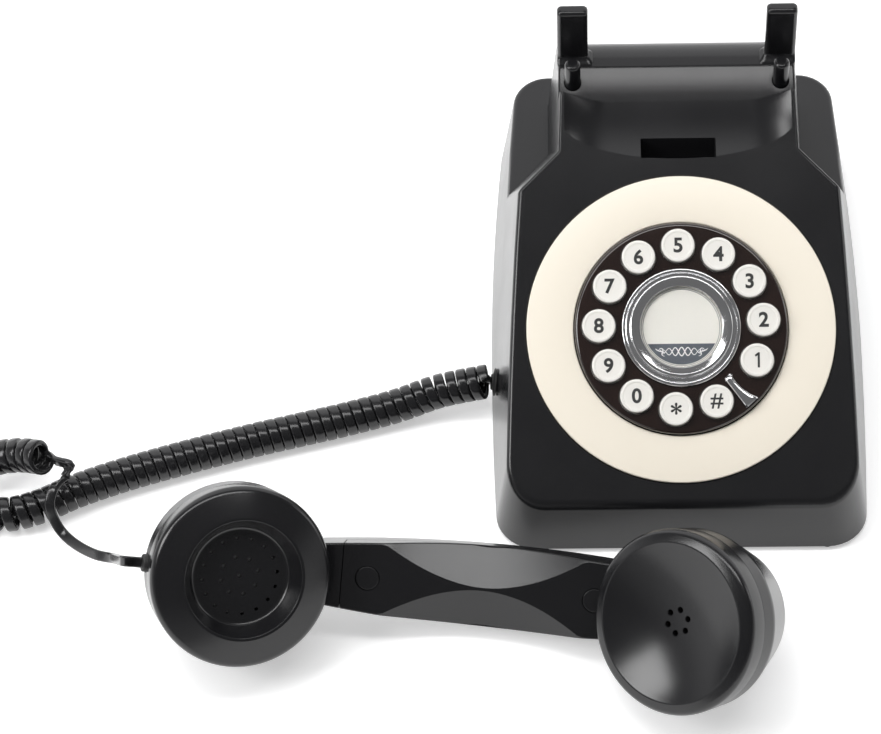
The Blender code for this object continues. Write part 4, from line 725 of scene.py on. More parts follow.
node(sky, "ShaderNodeOutputWorld", Surface=choice.outputs[0])
print("world made")


# %% Lamps
def lamp(name, spot, target, width, height, watts, mirrored=True):
    data = bpy.data.lights.new(name, "AREA")
    data.shape = "RECTANGLE"
    data.size = width
    data.size_y = height
    data.energy = watts
    made = bpy.data.objects.new(name, data)
    bpy.context.scene.collection.objects.link(made)
    made.location = spot
    made.rotation_euler = (Vector(target) - Vector(spot)).to_track_quat("-Z", "Y").to_euler()
    made.visible_glossy = mirrored
    return made


lamp("lamp_above", (-0.3, 0.3, 1.5), (0.0, 0.0, 0.0), 0.8, 0.5, 5.0, mirrored=False)
lamp("lamp_top", (-0.15, 0.0, 1.5), (-0.05, 0.0, 0.05), 0.26, 1.8, 10.0)
lamp("lamp_left", (-0.95, -0.26, 0.9), (0.0, -0.1, 0.03), 0.5, 0.5, 6.5)
lamp("lamp_right", (1.15, 0.2, 0.45), (0.0, 0.0, 0.05), 0.3, 0.5, 0.9)
lamp("lamp_fill", (0.0, -0.2, 1.7), (0.0, 0.0, 0.0), 1.6, 1.6, 3.5, mirrored=False)

# %% Floor
bpy.ops.object.select_all(action="DESELECT")
bpy.ops.mesh.primitive_plane_add(size=6, location=(0, 0, 0))
floor = bpy.context.active_object
floor.name = "floor"
floor_paper = bpy.data.materials.new("floor_paper")
floor_paper.use_nodes = True
tree = floor_paper.node_tree
shader = tree.nodes["Principled BSDF"]
shader.inputs["Base Color"].default_value = (0.9, 0.9, 0.9, 1)
shader.inputs["Roughness"].default_value = 0.8
shader.inputs["Specular IOR Level"].default_value = 0.1
seen = node(tree, "ShaderNodeLightPath")
shown = maths(tree, "MAXIMUM", seen.outputs["Is Camera Ray"], seen.outputs["Is Glossy Ray"])
shown = maths(tree, "MAXIMUM", shown, seen.outputs["Is Transmission Ray"])
floor_glow = maths(tree, "MULTIPLY", shown, 0.42)
glow = node(tree, "ShaderNodeEmission", Color=(1, 1, 1, 1), Strength=floor_glow)
both = node(tree, "ShaderNodeAddShader", in_0=shader.outputs[0], in_1=glow.outputs[0])
tree.links.new(both.outputs[0], tree.nodes["Material Output"].inputs["Surface"])
floor.data.materials.append(floor_paper)
bpy.context.scene.view_settings.view_transform = "Standard"
print("floor laid")

# %% [markdown]
# ## Body: outline and side profile
# The body is one moulded shell. Seen from above its sides are bowed and its corners round, and it narrows
# upward so that it leaves its mould. Seen from the side it has a short front, a sloped face for the keypad,
# a lip, the seat where the handset rests, a rounded bar, and a deck behind it. So it starts as the outline
# drawn upward, and what the side profile leaves out is cut away.

# %% Body sizes
body_length = 190.0
front_corner, rear_corner = 15.0, 13.0
rear_draft = radians(4.0)
wall = 2.6
lip_depth, lip_height = face_point(151.2)
lip_rear = lip_depth + 1.2
seat_floor = 86.5
seat_front = lip_rear + 2.2
scoop_place = 126.8
scoop_front = face_point(scoop_place)[0]
pocket_run, pocket_sink = 9.2, 10.5
bar_depth, bar_height, bar_slope, bar_round = 152.0, 93.2, radians(3.0), 13.2
bar_flat = 4.0
shelf = 44.5
top_trim = 127.6
neck_slope = radians(4.0)
bar_middle_depth = bar_depth + bar_flat * cos(bar_slope) + bar_round * sin(bar_slope)
bar_middle_height = bar_height + bar_flat * sin(bar_slope) - bar_round * cos(bar_slope)
neck_rear = bar_middle_depth + bar_round * cos(neck_slope)
neck_half, neck_lean = 43.8, radians(5.0)
neck_front, neck_corner = face_point(130.1), face_point(117.3)


def seat_height(depth):
    """Height of the handle's seat: level at the scoop's front edge, ever steeper up to the bar's crease."""
    share = max(0.0, depth - scoop_front) / (bar_depth - scoop_front)
    return seat_floor + (bar_height - seat_floor) * share**2.4


plate_top = 4.8
print("lip at", round(lip_depth, 1), round(lip_height, 1))
print("bar top at", round(bar_middle_height + bar_round, 1))


# %% Body outline at a height
def side_reach(depth):
    if depth < widest:
        return half_width - front_bow * ((widest - depth) / widest) ** 2
    return half_width - rear_bow * ((depth - widest) / (body_length - widest)) ** 2


def plan_loop(height, inset=0.0, arc_steps=9, side_steps=14):
    rise = height - base_height
    lean = rise * tan(side_draft) + inset
    start = rise * tan(front_draft) + inset + front_corner - inset
    end = body_length - rise * tan(rear_draft) - inset - (rear_corner - inset)
    front, rear = front_corner - inset, rear_corner - inset
    right = []
    for step in range(arc_steps):
        angle = pi / 2 * step / arc_steps
        right.append((side_reach(start) - lean - front * (1 - sin(angle)), start - front * cos(angle)))
    for step in range(side_steps + 1):
        depth = start + (end - start) * step / side_steps
        right.append((side_reach(depth) - lean, depth))
    for step in range(1, arc_steps + 1):
        angle = pi / 2 * step / arc_steps
        right.append((side_reach(end) - lean - rear * (1 - cos(angle)), end + rear * sin(angle)))
    return [(x, y, height) for x, y in right + [(-x, y) for x, y in reversed(right)]]


# %% Body side profile
def side_profile():
    near, far = -6.0, body_length + 6.0
    outline = [(near, near), (near, crease_height + (near - crease_depth) * tan(face_tilt))]
    outline += [(lip_depth, lip_height), (lip_rear, lip_height)]
    radii = [0, 0, 0, 0]
    for step in range(16):
        depth = seat_front + (bar_depth - seat_front) * step / 16
        outline.append((depth, seat_height(depth)))
        radii.append(0)
    outline.append((bar_depth, bar_height))
    radii.append(4.0)
    first = pi / 2 + bar_slope
    for step in range(25):
        angle = first + (neck_slope - first) * step / 24
        depth, height = bar_middle_depth + bar_round * cos(angle), bar_middle_height + bar_round * sin(angle)
        outline.append((depth, height))
        radii.append(0)
    drop = bar_middle_height - shelf
    outline += [(neck_rear + drop * tan(neck_slope), shelf), (far, shelf), (far, near)]
    return rounded(outline, radii + [2.0, 0, 0], 6)


def hollow_profile():
    near, far = -6.0, body_length + 6.0
    pocket_roof = seat_floor - pocket_sink - wall
    start_depth, start_height = face_point(0, -wall)
    pocket_rear = scoop_front + pocket_run + wall
    return [
        (near, near),
        (near, start_height + (near - start_depth) * tan(face_tilt)),
        (start_depth + (pocket_roof - start_height) / tan(face_tilt), pocket_roof),
        (pocket_rear, pocket_roof),
        (pocket_rear, seat_floor - wall),
        (neck_rear - wall, seat_floor - wall),
        (neck_rear - wall, shelf - wall),
        (far, shelf - wall),
        (far, near),
    ]


print("side profile has", len(side_profile()), "points")

# %% [markdown]
# ## Body: neck, edges and hand scoop
# Beside the neck the shell steps down to two shelves, so that the cups of a hung handset have room. A big
# block cut by two planes takes that away on each side. Then the edges are rounded by weight: the crease
# most, the sides less, the neck's top least. Last come the scoop for a hand, its square pocket, and the two
# posts.


# %% Beside the neck
def flank(side, spread=0.0):
    inner = Vector((neck_half, *neck_front))
    outer = Vector((56.7, *neck_corner))
    foot = Vector((64.3, 128.0, shelf))
    front = (outer - inner).cross(foot - inner).normalized()
    front = -front if front.y < 0 else front
    neck = Vector((cos(neck_lean), 0, sin(neck_lean)))
    piece = block("flank", (0, outer.y - 12, shelf - spread), (76, body_length + 12, 134))
    bpy.ops.object.mode_set(mode="EDIT")
    for normal in (neck, front):
        bpy.ops.mesh.select_all(action="SELECT")
        spot = inner - normal * spread
        bpy.ops.mesh.bisect(plane_co=spot, plane_no=normal, use_fill=True, clear_inner=True)
    bpy.ops.object.mode_set(mode="OBJECT")
    piece.data.transform(Matrix.Scale(side, 4, (1, 0, 0)))
    return tidied(piece)


# %% Body block with its round edges
shell = solid("body_shell_skin", [plan_loop(base_height), plan_loop(top_trim)])
trimmed(shell, prism("profile", side_profile(), 76), how="INTERSECT")
trimmed(shell, flank(-1), flank(1))
tidied(shell, 0.25)
bpy.ops.object.mode_set(mode="EDIT")
bpy.ops.mesh.select_all(action="SELECT")
bpy.ops.mesh.dissolve_limited(angle_limit=radians(0.6))
bpy.ops.object.mode_set(mode="OBJECT")
print("body block:", len(shell.data.vertices), "points")


# %% Weights for the rounding
def weigh_edges(piece, share_of, sharp=radians(36)):
    """Gives every sharp outer edge its share of the rounding."""
    mesh = piece.data
    normals = {}
    for face in mesh.polygons:
        for key in face.edge_keys:
            normals.setdefault(key, []).append((face.normal.copy(), face.center.copy()))
    layer = mesh.attributes.new("bevel_weight_edge", "FLOAT", "EDGE")
    for edge, value in zip(mesh.edges, layer.data):
        sides = normals.get(edge.key, [])
        if len(sides) != 2:
            continue
        (first, first_middle), (second, second_middle) = sides
        outward = (second_middle - first_middle).dot(first) < 0
        if outward and first.angle(second) > sharp:
            ends = [mesh.vertices[number].co for number in edge.vertices]
            value.value = share_of((ends[0] + ends[1]) / 2)


post_width, post_thick, post_front, post_top, post_round = 11.3, 4.8, 155.2, 120.2, 1.6
neck_share, side_share = 0.36, 0.6


def ease_share(middle):
    if middle.z < base_height + gap:
        return 0.0
    if middle.z > shelf + gap and abs(middle.x) < neck_half + post_width and middle.y > lip_depth / 2:
        if middle.z > neck_corner[1] or middle.y > lip_depth:
            return neck_share
    return 1 + (side_share - 1) * smooth_step(middle.y / front_corner)


weigh_edges(shell, ease_share)
ease = shell.modifiers.new("Ease", "BEVEL")
ease.limit_method = "WEIGHT"
ease.width = 2.8
ease.segments = 5
ease.use_clamp_overlap = False
applied(shell, ease)
tidied(shell, 0.004)
print("rounded body:", len(shell.data.vertices), "points")


# %% Hand scoop and pocket
def scoop():
    """The floor runs on into the seat in the middle and slopes up to each horn."""
    half, bow_radius, bow_run = 41.4, 42.6, 14.5
    horn_start, horn_blend, horn_drop, clear = 28.0, 2.5, 0.6, 0.05
    loops = []
    stations = 61
    top = lip_height + 6
    whole = lip_height - horn_drop - seat_height(lip_rear)
    for station in range(stations):
        x = half * sin(pi / 2 * (2 * station / (stations - 1) - 1))
        bow = 1 - sqrt(1 - (x / bow_radius) ** 2)
        edge_depth = face_point(scoop_place + bow_run * bow)[0]
        away = abs(x) - horn_start
        eased = away if away > horn_blend else max(0.0, away + horn_blend) ** 2 / (4 * horn_blend)
        rise = whole / (half - horn_start) * eased
        outline = [(edge_depth, top)]
        for step in range(9):
            depth = edge_depth + (lip_rear - edge_depth) * step / 8
            climb = (depth - scoop_front) / (lip_rear - scoop_front)
            outline.append((depth, seat_height(depth) + rise * climb + clear))
        outline += [(seat_front, seat_height(seat_front) + rise + clear), (seat_front, top)]
        loops.append([(x, y, z) for y, z in outline])
    return solid("scoop", loops)


def pocket():
    front = scoop_front + gap
    rear = front + pocket_run
    low = seat_floor - pocket_sink
    outline = [(front, low), (rear - 2.5, low), (rear, seat_floor), (rear, lip_height), (front, lip_height)]
    return softened(prism("pocket", outline, 13.7), 0.5)


# %% Posts
def post(side):
    """A post whose foot runs forward and inward onto the seat, with a round top."""
    outer, inner = neck_half, neck_half - post_width
    front, rear = post_front, post_front + post_thick
    root, foot_height, foot_inward, foot_forward = 8.0, 3.0, 2.0, 2.9

    def loop(x_low, x_high, y_low, y_high, height, radius):
        corners = [(x_low, y_low), (x_high, y_low), (x_high, y_high), (x_low, y_high)]
        return [(x, y, height) for x, y in rounded(corners, [radius] * 4, 5)]

    heights = [bar_height - root] + [bar_height + foot_height * step / 8 for step in range(9)]
    loops = []
    for height in heights:
        away = (1 - smooth_step(max(0.0, (height - bar_height) / foot_height))) ** 2
        x_low, y_low = inner - foot_inward * away, front - foot_forward * away
        loops.append(loop(x_low, outer, y_low, rear, height, post_round))
    for step in range(9):
        angle = radians(85) * step / 8
        inset = post_round * (1 - cos(angle))
        height = post_top - post_round * (1 - sin(angle))
        radius = post_round - inset / 2
        loops.append(loop(inner + inset, outer - inset, front + inset, rear - inset, height, radius))
    piece = solid("post", loops)
    piece.data.transform(Matrix.Scale(side, 4, (1, 0, 0)))
    return tidied(piece)


trimmed(shell, scoop(), pocket())
trimmed(shell, post(1), post(-1), how="UNION")
print("with scoop and posts:", len(shell.data.vertices), "points")

# %% [markdown]
# ## Body: hollow inside and its openings
# The wall is 2.6 mm thick. The hollow is the same outline, drawn in by a wall, under its own side profile.
# The round recess for the ring, the hole for the keypad, the plungers' holes, the cord's hole and the two
# slots at the back are cut last. The recess has a tiny chamfer at its rim, because no mould leaves a knife
# edge, and it catches the light.

# %% Hollow
flank_wall = 1.8
screw_across, screw_inward = 48.0, 24.0
room = solid("room", [plan_loop(-6, wall, 3, 5), plan_loop(top_trim, wall, 3, 5)])
trimmed(room, prism("hollow", hollow_profile(), half_width), how="INTERSECT")
trimmed(room, flank(-1, flank_wall), flank(1, flank_wall))
screw_depths = (screw_inward, body_length - screw_inward)
screw_places = [(side * screw_across, depth) for depth in screw_depths for side in (-1, 1)]
boss_bottom = plate_top + 1.6 + gap
for x, y in screw_places:
    trimmed(room, rod(4.2, boss_bottom, 127, Matrix.Translation((x, y, 0)), 24))
trimmed(shell, room)
print("hollow body:", len(shell.data.vertices), "points")

# %% Openings
for x, y in screw_places:
    trimmed(shell, rod(1.85, base_height, boss_bottom + 12, Matrix.Translation((x, y, 0)), 16))
plunger_across, plunger_depth, plunger_radius = 38.2, 146.6, 2.9
for side in (-1, 1):
    place = Matrix.Translation((side * plunger_across, plunger_depth, 0))
    trimmed(shell, rod(3.25, seat_floor - wall - 6, lip_height, place, 40))
recess = spun("recess", [(0, -1.2), (56.3, -1.2), (56.3, -0.25), (56.6, 0.05), (56.6, 6), (0, 6)], 160)
recess.data.transform(face)
keypad_hole = rod(38.05, -12, 6, face, 128)
cord_hole = rod(3.9, -12, 12, outlet, 32)
board_top = plate_top + 7.0 + gap + 1.6
slot_front, slot_rear = body_length - 6, body_length + 6
socket_low = board_top + gap
socket_high = socket_low + 3.2
socket_slot = block("slot", (-26.85, slot_front, socket_low - 0.35), (-17.15, slot_rear, socket_high + 0.35))
knob_height = board_top + gap + 2.8
switch_slot = block("slot", (16.55, slot_front, knob_height - 1.65), (23.45, slot_rear, knob_height + 1.65))
trimmed(shell, recess, keypad_hole, cord_hole, socket_slot, switch_slot)
tidied(shell, 0.003)
even = shell.modifiers.new("Even", "WEIGHTED_NORMAL")
even.keep_sharp = True
body_skin = finished(shell, "telephone_body", satin_black, ["body_shell"], angle=34)
applied(body_skin, even)
print("body shell:", len(body_skin.data.polygons), "faces")

# %% [markdown]
# ## Ring and keypad disc
# The cream ring lies in the round recess. The polished black disc stands a little higher in its middle, on
# a skirt that passes through the shell. Both are turned parts, so each is an outline spun about the face's
# own axis. The twelve button holes are then cut through the disc.

# %% Dial ring
ring_low = gap - 1.2
ring_top = ring_low + 1.9
ring_hole, ring_rim = 38.95, 56.0
ring_corners = [(ring_hole, ring_low), (ring_rim, ring_low), (ring_rim, ring_top), (ring_hole, ring_top)]
ring_outline = rounded(ring_corners, [0, 0, 0.5, 0.5], 5)
dial_ring = spun("dial_ring_skin", ring_outline + ring_outline[:1], 192)
finished(dial_ring, "telephone_body", cream, ["dial_ring"], face)
print("dial ring:", len(dial_ring.data.polygons), "faces")

# %% Button places
disc_top = 3.5
plate_low = disc_top - 2.0
flange_low = plate_low - gap - 1.0
stem_low = flange_low - 1.6
mat_top = stem_low - 1.5 - gap
board_face = mat_top - 1.2 - gap
board_rear = board_face - 1.6
button_names = ["1", "2", "3", "4", "5", "6", "7", "8", "9", "0", "star", "hash"]
button_angles = [radians(-24.4 + 29.0 * number) for number in range(12)]
button_circle = 29.8
button_places = [Vector((cos(angle), sin(angle), 0)) * button_circle for angle in button_angles]
print("buttons:", len(button_places))


# %% Keypad disc
disc_outline = rounded(
    [
        (0, plate_low),
        (36.8, plate_low),
        (36.8, board_rear - gap),
        (36.1, board_rear - 1.0),
        (36.1, board_rear - 1.7),
        (37.7, board_rear - 1.7),
        (37.7, ring_low),
        (38.6, ring_low),
        (38.6, disc_top),
        (0, disc_top),
    ],
    [0] * 8 + [1.4, 0],
    7,
)
disc = spun("keypad_disc_skin", disc_outline, 160)
for number in range(3):
    angle = 2 * pi * number / 3 + pi / 2
    place = Matrix.Translation((18.5 * cos(angle), 18.5 * sin(angle), 0))
    trimmed(disc, rod(2.4, board_face + gap, plate_low + 0.01, place, 24), how="UNION")
hole_outline = [
    (0, plate_low - gap),
    (6.35, plate_low - gap),
    (6.35, disc_top - gap),
    (6.65, disc_top + 0.02),
    (6.65, disc_top + 0.4),
    (0, disc_top + 0.4),
]
for spot in button_places:
    hole = spun("hole", hole_outline, 48)
    hole.data.transform(Matrix.Translation(spot))
    trimmed(disc, hole)
finished(tidied(disc, 0.003), "telephone_body", polished_black, ["keypad_disc"], face)
print("keypad disc:", len(disc.data.polygons), "faces")

# %% [markdown]
# ## Buttons and their figures
# Each button is a white cap with a soft edge, a thin raised rim and a faint hollow in its middle for the
# finger. One outline is spun once, and each button gets its own copy. The figures are printed: text, made a
# mesh, a hair thick, that moves with its button.

# %% Button cap
cap_top = disc_top + 3.0
cap_outline = rounded(
    [
        (0, stem_low),
        (3.0, stem_low),
        (3.0, flange_low),
        (6.6, flange_low),
        (6.6, plate_low - gap),
        (6.0, plate_low - gap),
        (6.0, cap_top),
        (4.95, cap_top),
        (4.75, cap_top - 0.16),
        (0, cap_top - 0.16),
    ],
    [0, 0, 0, 0.2, 0.2, 0, 0.45, 0.1, 0.1, 0],
    5,
)
cap_model = spun("button_cap", cap_outline, 72)
cap_mesh = cap_model.data.copy()
bpy.data.objects.remove(cap_model, do_unlink=True)
for name, spot in zip(button_names, button_places):
    cap = bpy.data.objects.new(f"button_{name}_cap", cap_mesh.copy())
    bpy.context.scene.collection.objects.link(cap)
    body = f"button_{name}_key"
    finished(cap, body, button_white, ["button_" + name], face @ Matrix.Translation(spot))
print("button cap:", len(cap_mesh.polygons), "faces")

# %% Printed figures
figure_height, figure_thick = 5.5, 0.12
figure_level = cap_top - 0.24
one_outline = [(0.5, -2.75), (0.5, 2.75), (-0.1, 2.75), (-1.35, 1.8), (-0.95, 1.2), (-0.3, 1.65)]
one_outline += [(-0.3, -2.75)]
for name, spot in zip(button_names, button_places):
    letter = {"star": "*", "hash": "#"}.get(name, name)
    bpy.ops.object.select_all(action="DESELECT")
    bpy.ops.object.text_add()
    text = bpy.context.active_object
    text.data.body = letter
    text.data.extrude = 0.004
    text.data.offset = {"#": 0.012, "*": 0.016}.get(letter, 0.028)
    text.data.resolution_u = 6
    bpy.ops.object.convert(target="MESH")
    figure = bpy.context.active_object
    if letter == "1":
        bpy.data.objects.remove(figure, do_unlink=True)
        figure = solid("figure", [[(x, y, z) for x, y in one_outline] for z in (0.0, 0.1)])
    figure.name = f"button_{name}_figure"
    points = np.array([tuple(point.co) for point in figure.data.vertices])
    low, high = points.min(axis=0), points.max(axis=0)
    tall = figure_height * (0.8 if name == "star" else 1.0)
    scale = tall / (high[1] - low[1])
    middle = (low + high) / 2
    fitted = (
        Matrix.Translation((spot.x, spot.y, figure_level))
        @ Matrix.Diagonal((scale, scale, figure_thick / (high[2] - low[2]), 1))
        @ Matrix.Translation((-middle[0], -middle[1], -low[2]))
    )
    figure.data.transform(fitted)
    finished(figure, f"button_{name}_key", digit_black, (), face)
print("figures:", len(button_names))

# %% [markdown]
# ## Bezel, label and window
# The bezel is a spun chrome ring: an outer flange, a groove, a raised crown and a funnel down to the label.
# The label is a paper card with two fine printed rings and a slate band with a traditional scroll. Its
# words are left off, so the upper part is bare paper. A thin clear window lies over it.

# %% Bezel
card_thick, window_thick, card_radius = 0.4, 0.9, 15.9
label_low = disc_top + gap
window_low = label_low + card_thick + gap
bezel_seat = window_low + window_thick + gap
crown_top = disc_top + 3.7
bezel_outline = rounded(
    [
        (16.2, label_low),
        (21.5, label_low),
        (21.5, disc_top + 1.5),
        (20.0, disc_top + 1.5),
        (20.0, disc_top + 0.8),
        (18.5, disc_top + 0.8),
        (18.5, crown_top),
        (17.3, crown_top),
        (14.9, bezel_seat + 0.8),
        (14.9, bezel_seat),
        (16.2, bezel_seat),
    ],
    [0, 0, 0.5, 0.4, 0.2, 0.2, 0.45, 0.45, 0.2, 0, 0],
    6,
)
bezel = spun("center_bezel_skin", bezel_outline + bezel_outline[:1], 160)
finished(bezel, "telephone_body", chrome, ["center_bezel"], face, angle=40)
print("bezel:", len(bezel.data.polygons), "faces")

# %% Label card and its prints
print_level = label_low + card_thick
card_piece = rod(card_radius, label_low, print_level, None, 96)
card_piece.name = "label_card_paper"
finished(card_piece, "telephone_body", card_cream, ["label_card"], face)
print_clear, print_thick = 0.005, 0.03


def printed(name, points, faces, ink):
    piece = drawn(name, points, (), faces)
    bpy.ops.object.mode_set(mode="EDIT")
    bpy.ops.mesh.select_all(action="SELECT")
    bpy.ops.mesh.extrude_region_move(TRANSFORM_OT_translate={"value": (0, 0, print_thick)})
    bpy.ops.object.mode_set(mode="OBJECT")
    return finished(tidied(piece, 0.0005), "telephone_body", ink, (), face)


def printed_ring(name, radius, width, ink, steps=128):
    angles = [2 * pi * step / steps for step in range(steps)]
    level = print_level + print_clear
    points = [(r * cos(a), r * sin(a), level) for r in (radius - width, radius) for a in angles]
    faces = [(step, (step + 1) % steps, steps + (step + 1) % steps, steps + step) for step in range(steps)]
    return printed(name, points, faces, ink)


printed_ring("label_line_outer", 14.55, 0.16, card_slate)
printed_ring("label_line_inner", 13.95, 0.16, card_slate)
band_radius, band_edge = 13.5, -5.9
start = -pi - np.arcsin(band_edge / band_radius)
end = np.arcsin(band_edge / band_radius)
arc = [start + (end - start) * step / 64 for step in range(65)]
level = print_level + print_clear
band_points = [(band_radius * cos(angle), band_radius * sin(angle), level) for angle in arc]
printed("label_band", band_points, [tuple(range(len(band_points)))], card_slate)
print("card prints made")


# %% Scroll on the band
def scroll_line(start_angle, turns, start_radius, end_radius, middle, sense, steps=26):
    """A spiral that opens from a curl."""
    line = []
    for step in range(steps + 1):
        share = step / steps
        angle = start_angle + sense * 2 * pi * turns * share
        radius = start_radius + (end_radius - start_radius) * share
        line.append((middle[0] + radius * cos(angle), middle[1] + radius * sin(angle)))
    return line


strokes = []
for sense in (-1, 1):
    twist = []
    for step in range(61):
        x = -6.9 + 13.8 * step / 60
        twist.append((x, -8.75 + sense * 1.55 * sin(pi * x / 2.3 + pi / 2) * (1 - (x / 9.5) ** 2)))
    strokes.append(twist)
for side in (-1, 1):
    strokes += [
        scroll_line(pi / 2 - side * pi / 2, 1.2, 0.9, 0.15, (side * 7.3, -8.3), side),
        scroll_line(pi / 2 + side * pi / 2, 0.8, 0.15, 1.0, (side * 6.4, -9.4), -side),
        [(side * x, y) for x, y in ((6.6, -8.7), (7.8, -8.6), (8.8, -8.2), (9.5, -7.6))],
    ]
print("scroll strokes:", len(strokes))


def stroke_faces(lines, width):
    """Each stroke as a ribbon that is widest in its middle."""
    points, faces = [], []
    level = print_level + 0.036
    for line in lines:
        first = len(points)
        for number, (x, y) in enumerate(line):
            before, after = Vector(line[max(number - 1, 0)]), Vector(line[min(number + 1, len(line) - 1)])
            side = (after - before).normalized()
            half = width * (0.35 + 0.65 * sin(pi * number / (len(line) - 1))) / 2
            across, along = side.y * half, side.x * half
            points += [(x - across, y + along, level), (x + across, y - along, level)]
            if number:
                low = first + 2 * (number - 1)
                faces.append((low, low + 2, low + 3, low + 1))
    return points, faces


printed("label_scroll", *stroke_faces(strokes, 0.42), card_white)

# %% Window
window_top = window_low + window_thick
window_corners = [(0, window_low), (card_radius, window_low), (card_radius, window_top), (0, window_top)]
window = spun("label_window_clear", rounded(window_corners, [0, 0.1, 0.15, 0], 3), 96)
finished(window, "telephone_body", window_clear, ["label_window"], face)
print("window made")

# %% [markdown]
# ## Finger stop
# A tapered chrome bar between two buttons, pressed from sheet with its edges turned down. It is wider
# outside, one edge is bowed in, and its top is crowned, so it shows one bright and one dark side.


# %% Finger stop
def stop_loops():
    inner_end, outer_end, side_height, crown = 24.2, 37.4, 1.1, 0.6
    loops = []
    low = disc_top + gap
    steps = 22
    for step in range(steps + 1):
        share = step / steps
        along = inner_end + (outer_end - inner_end) * share
        half = (3.0 + 2.6 * share) / 2
        bow = 1.3 * 4 * share * (1 - share)
        drop = 0.5 * (1 - min(share / 0.1, (1 - share) / 0.1, 1)) ** 2
        left, right = half - bow, -half
        outline = [(right, low), (left, low), (left, low + side_height - drop)]
        width = left - right
        for turn in range(9):
            angle = pi * turn / 8
            y = right + width / 2 + width / 2 * cos(angle) * 0.98
            outline.append((y, low + side_height + crown * sin(angle) - drop))
        outline.append((right, low + side_height - drop))
        loops.append([(along, y, z) for y, z in outline])
    return loops


stop = solid("finger_stop_skin", stop_loops())
stop.data.transform(Matrix.Rotation(radians(-47.5), 4, "Z"))
finished(stop, "telephone_body", chrome, ["finger_stop"], face, angle=50)
print("finger stop:", len(stop.data.polygons), "faces")

# %% [markdown]
# ## Plungers and grommets
# Two small plungers stand in front of the posts, and the handle presses them down when it is hung up. Each
# is a turned pin with a collar that stops it under the shell and a domed head. The cord leaves the shell
# through a rubber grommet, and a second one takes it into the mouthpiece.

# %% Plungers
plunger_low, plunger_high = 76.3, 102.4
collar_top = seat_floor - wall - gap
plunger_outline = rounded(
    [
        (0, plunger_low),
        (plunger_radius, plunger_low),
        (plunger_radius, collar_top - 1.6),
        (3.75, collar_top - 1.6),
        (3.75, collar_top),
        (plunger_radius, collar_top),
        (plunger_radius, plunger_high),
        (0, plunger_high),
    ],
    [0] * 6 + [1.3, 0],
    7,
)
for side, name in ((-1, "left"), (1, "right")):
    plunger = spun(f"hook_plunger_{name}_skin", plunger_outline, 64)
    place = Matrix.Translation((side * plunger_across, plunger_depth, 0))
    finished(plunger, "hook", satin_black, ["hook_plunger_" + name], place)
print("plungers made")

# %% Grommets
grommet_outline = rounded(
    [
        (0, -wall - 1.9),
        (5.2, -wall - 1.9),
        (5.2, -wall - gap),
        (3.6, -wall - gap),
        (3.6, gap),
        (5.2, gap),
        (5.2, 0.8),
        (3.0, 1.3),
        (3.0, outlet_nose),
        (0, outlet_nose),
    ],
    [0, 0, 0, 0, 0, 0.15, 0.2, 0.2, 0.3, 0],
    4,
)
grommet = spun("cord_outlet_skin", grommet_outline, 64)
finished(grommet, "telephone_body", rubber_black, ["cord_outlet"], outlet)
mouth_cap_radius, ear_cap_radius = 32.8, 33.0
cap_wall, neck_wall = 2.2, 2.4
inlet_root = mouth_cap_radius - cap_wall - neck_wall - cup_radius - 1.2
inlet_outline = rounded(
    [
        (0, inlet_root - 1.2),
        (4.4, inlet_root - 1.2),
        (4.4, inlet_root),
        (3.2, inlet_root),
        (3.2, inlet_nose),
        (0, inlet_nose),
    ],
    [0, 0, 0, 0, 0.5, 0],
    4,
)
inlet_grommet = spun("handset_inlet_skin", inlet_outline, 48)
finished(inlet_grommet, "handset", rubber_black, ["handset_inlet"], inlet)
print("grommets made")

# %% [markdown]
# ## Handset: the handle
# The handset has its own axes: x runs from the mouthpiece to the earpiece, and z is the way that the caps
# face. The handle is drawn through cross-sections along x. Its outer edges are round. Its inner side has
# two long facets, widest in the middle, which leave a ridge between them and catch the light like a cut
# stone.

# %% Handset: sizes along the handle
middle = spacing / 2
cover_start, cover_end = middle - 44.0, middle + 52.0
screw_spots = (middle - 34.9, middle + 46.8)
handle_thick, handle_wall = 17.0, 2.2
facet_slope = 0.52
neck_top = 4.5 - 6.0


def through(x, points):
    """The parabola through three (place, value) points, read at x."""
    (a, at_a), (b, at_b), (c, at_c) = points
    return (
        at_a * (x - b) * (x - c) / ((a - b) * (a - c))
        + at_b * (x - a) * (x - c) / ((b - a) * (b - c))
        + at_c * (x - a) * (x - b) / ((c - a) * (c - b))
    )


def handle_height(x):
    return -through(x, ((0, 27.5), (middle, 31.5), (spacing, 32.0)))


def handle_half(x):
    return through(x, ((cover_start, 24.0), (middle, 29.4), (cover_end, 27.5))) / 2


def facet_share(x):
    away = (x - middle - 6.6) / 36.0
    return max(0.0, 1 - away * away)


def stations(start, end, count):
    return [start + (end - start) * step / (count - 1) for step in range(count)]


print("handle height in the middle:", round(handle_height(middle), 1))


# %% Handset: solids along the handle
def handle_loop(x):
    half, centre = handle_half(x), handle_height(x)
    top, bottom = centre + handle_thick / 2, centre - handle_thick / 2
    facet = facet_share(x)
    ridge = 0.5 + (half - 1.0) * (1 - facet)
    edge = top - facet_slope * (half - ridge)
    outline = [(-half, bottom), (half, bottom), (half, edge), (ridge, top), (-ridge, top), (-half, edge)]
    outer_round, edge_round = 4.0, 0.7
    ridge_round = min(0.8, ridge * 0.45) if facet > 0.02 else 0.1
    rounds = [outer_round, outer_round, edge_round, ridge_round, ridge_round, edge_round]
    return [(x, y, z) for y, z in rounded(outline, rounds, 5)]


handle_steps = 61


def handle_solid():
    return solid("handle", [handle_loop(x) for x in stations(12.0, spacing - 12.0, handle_steps)])


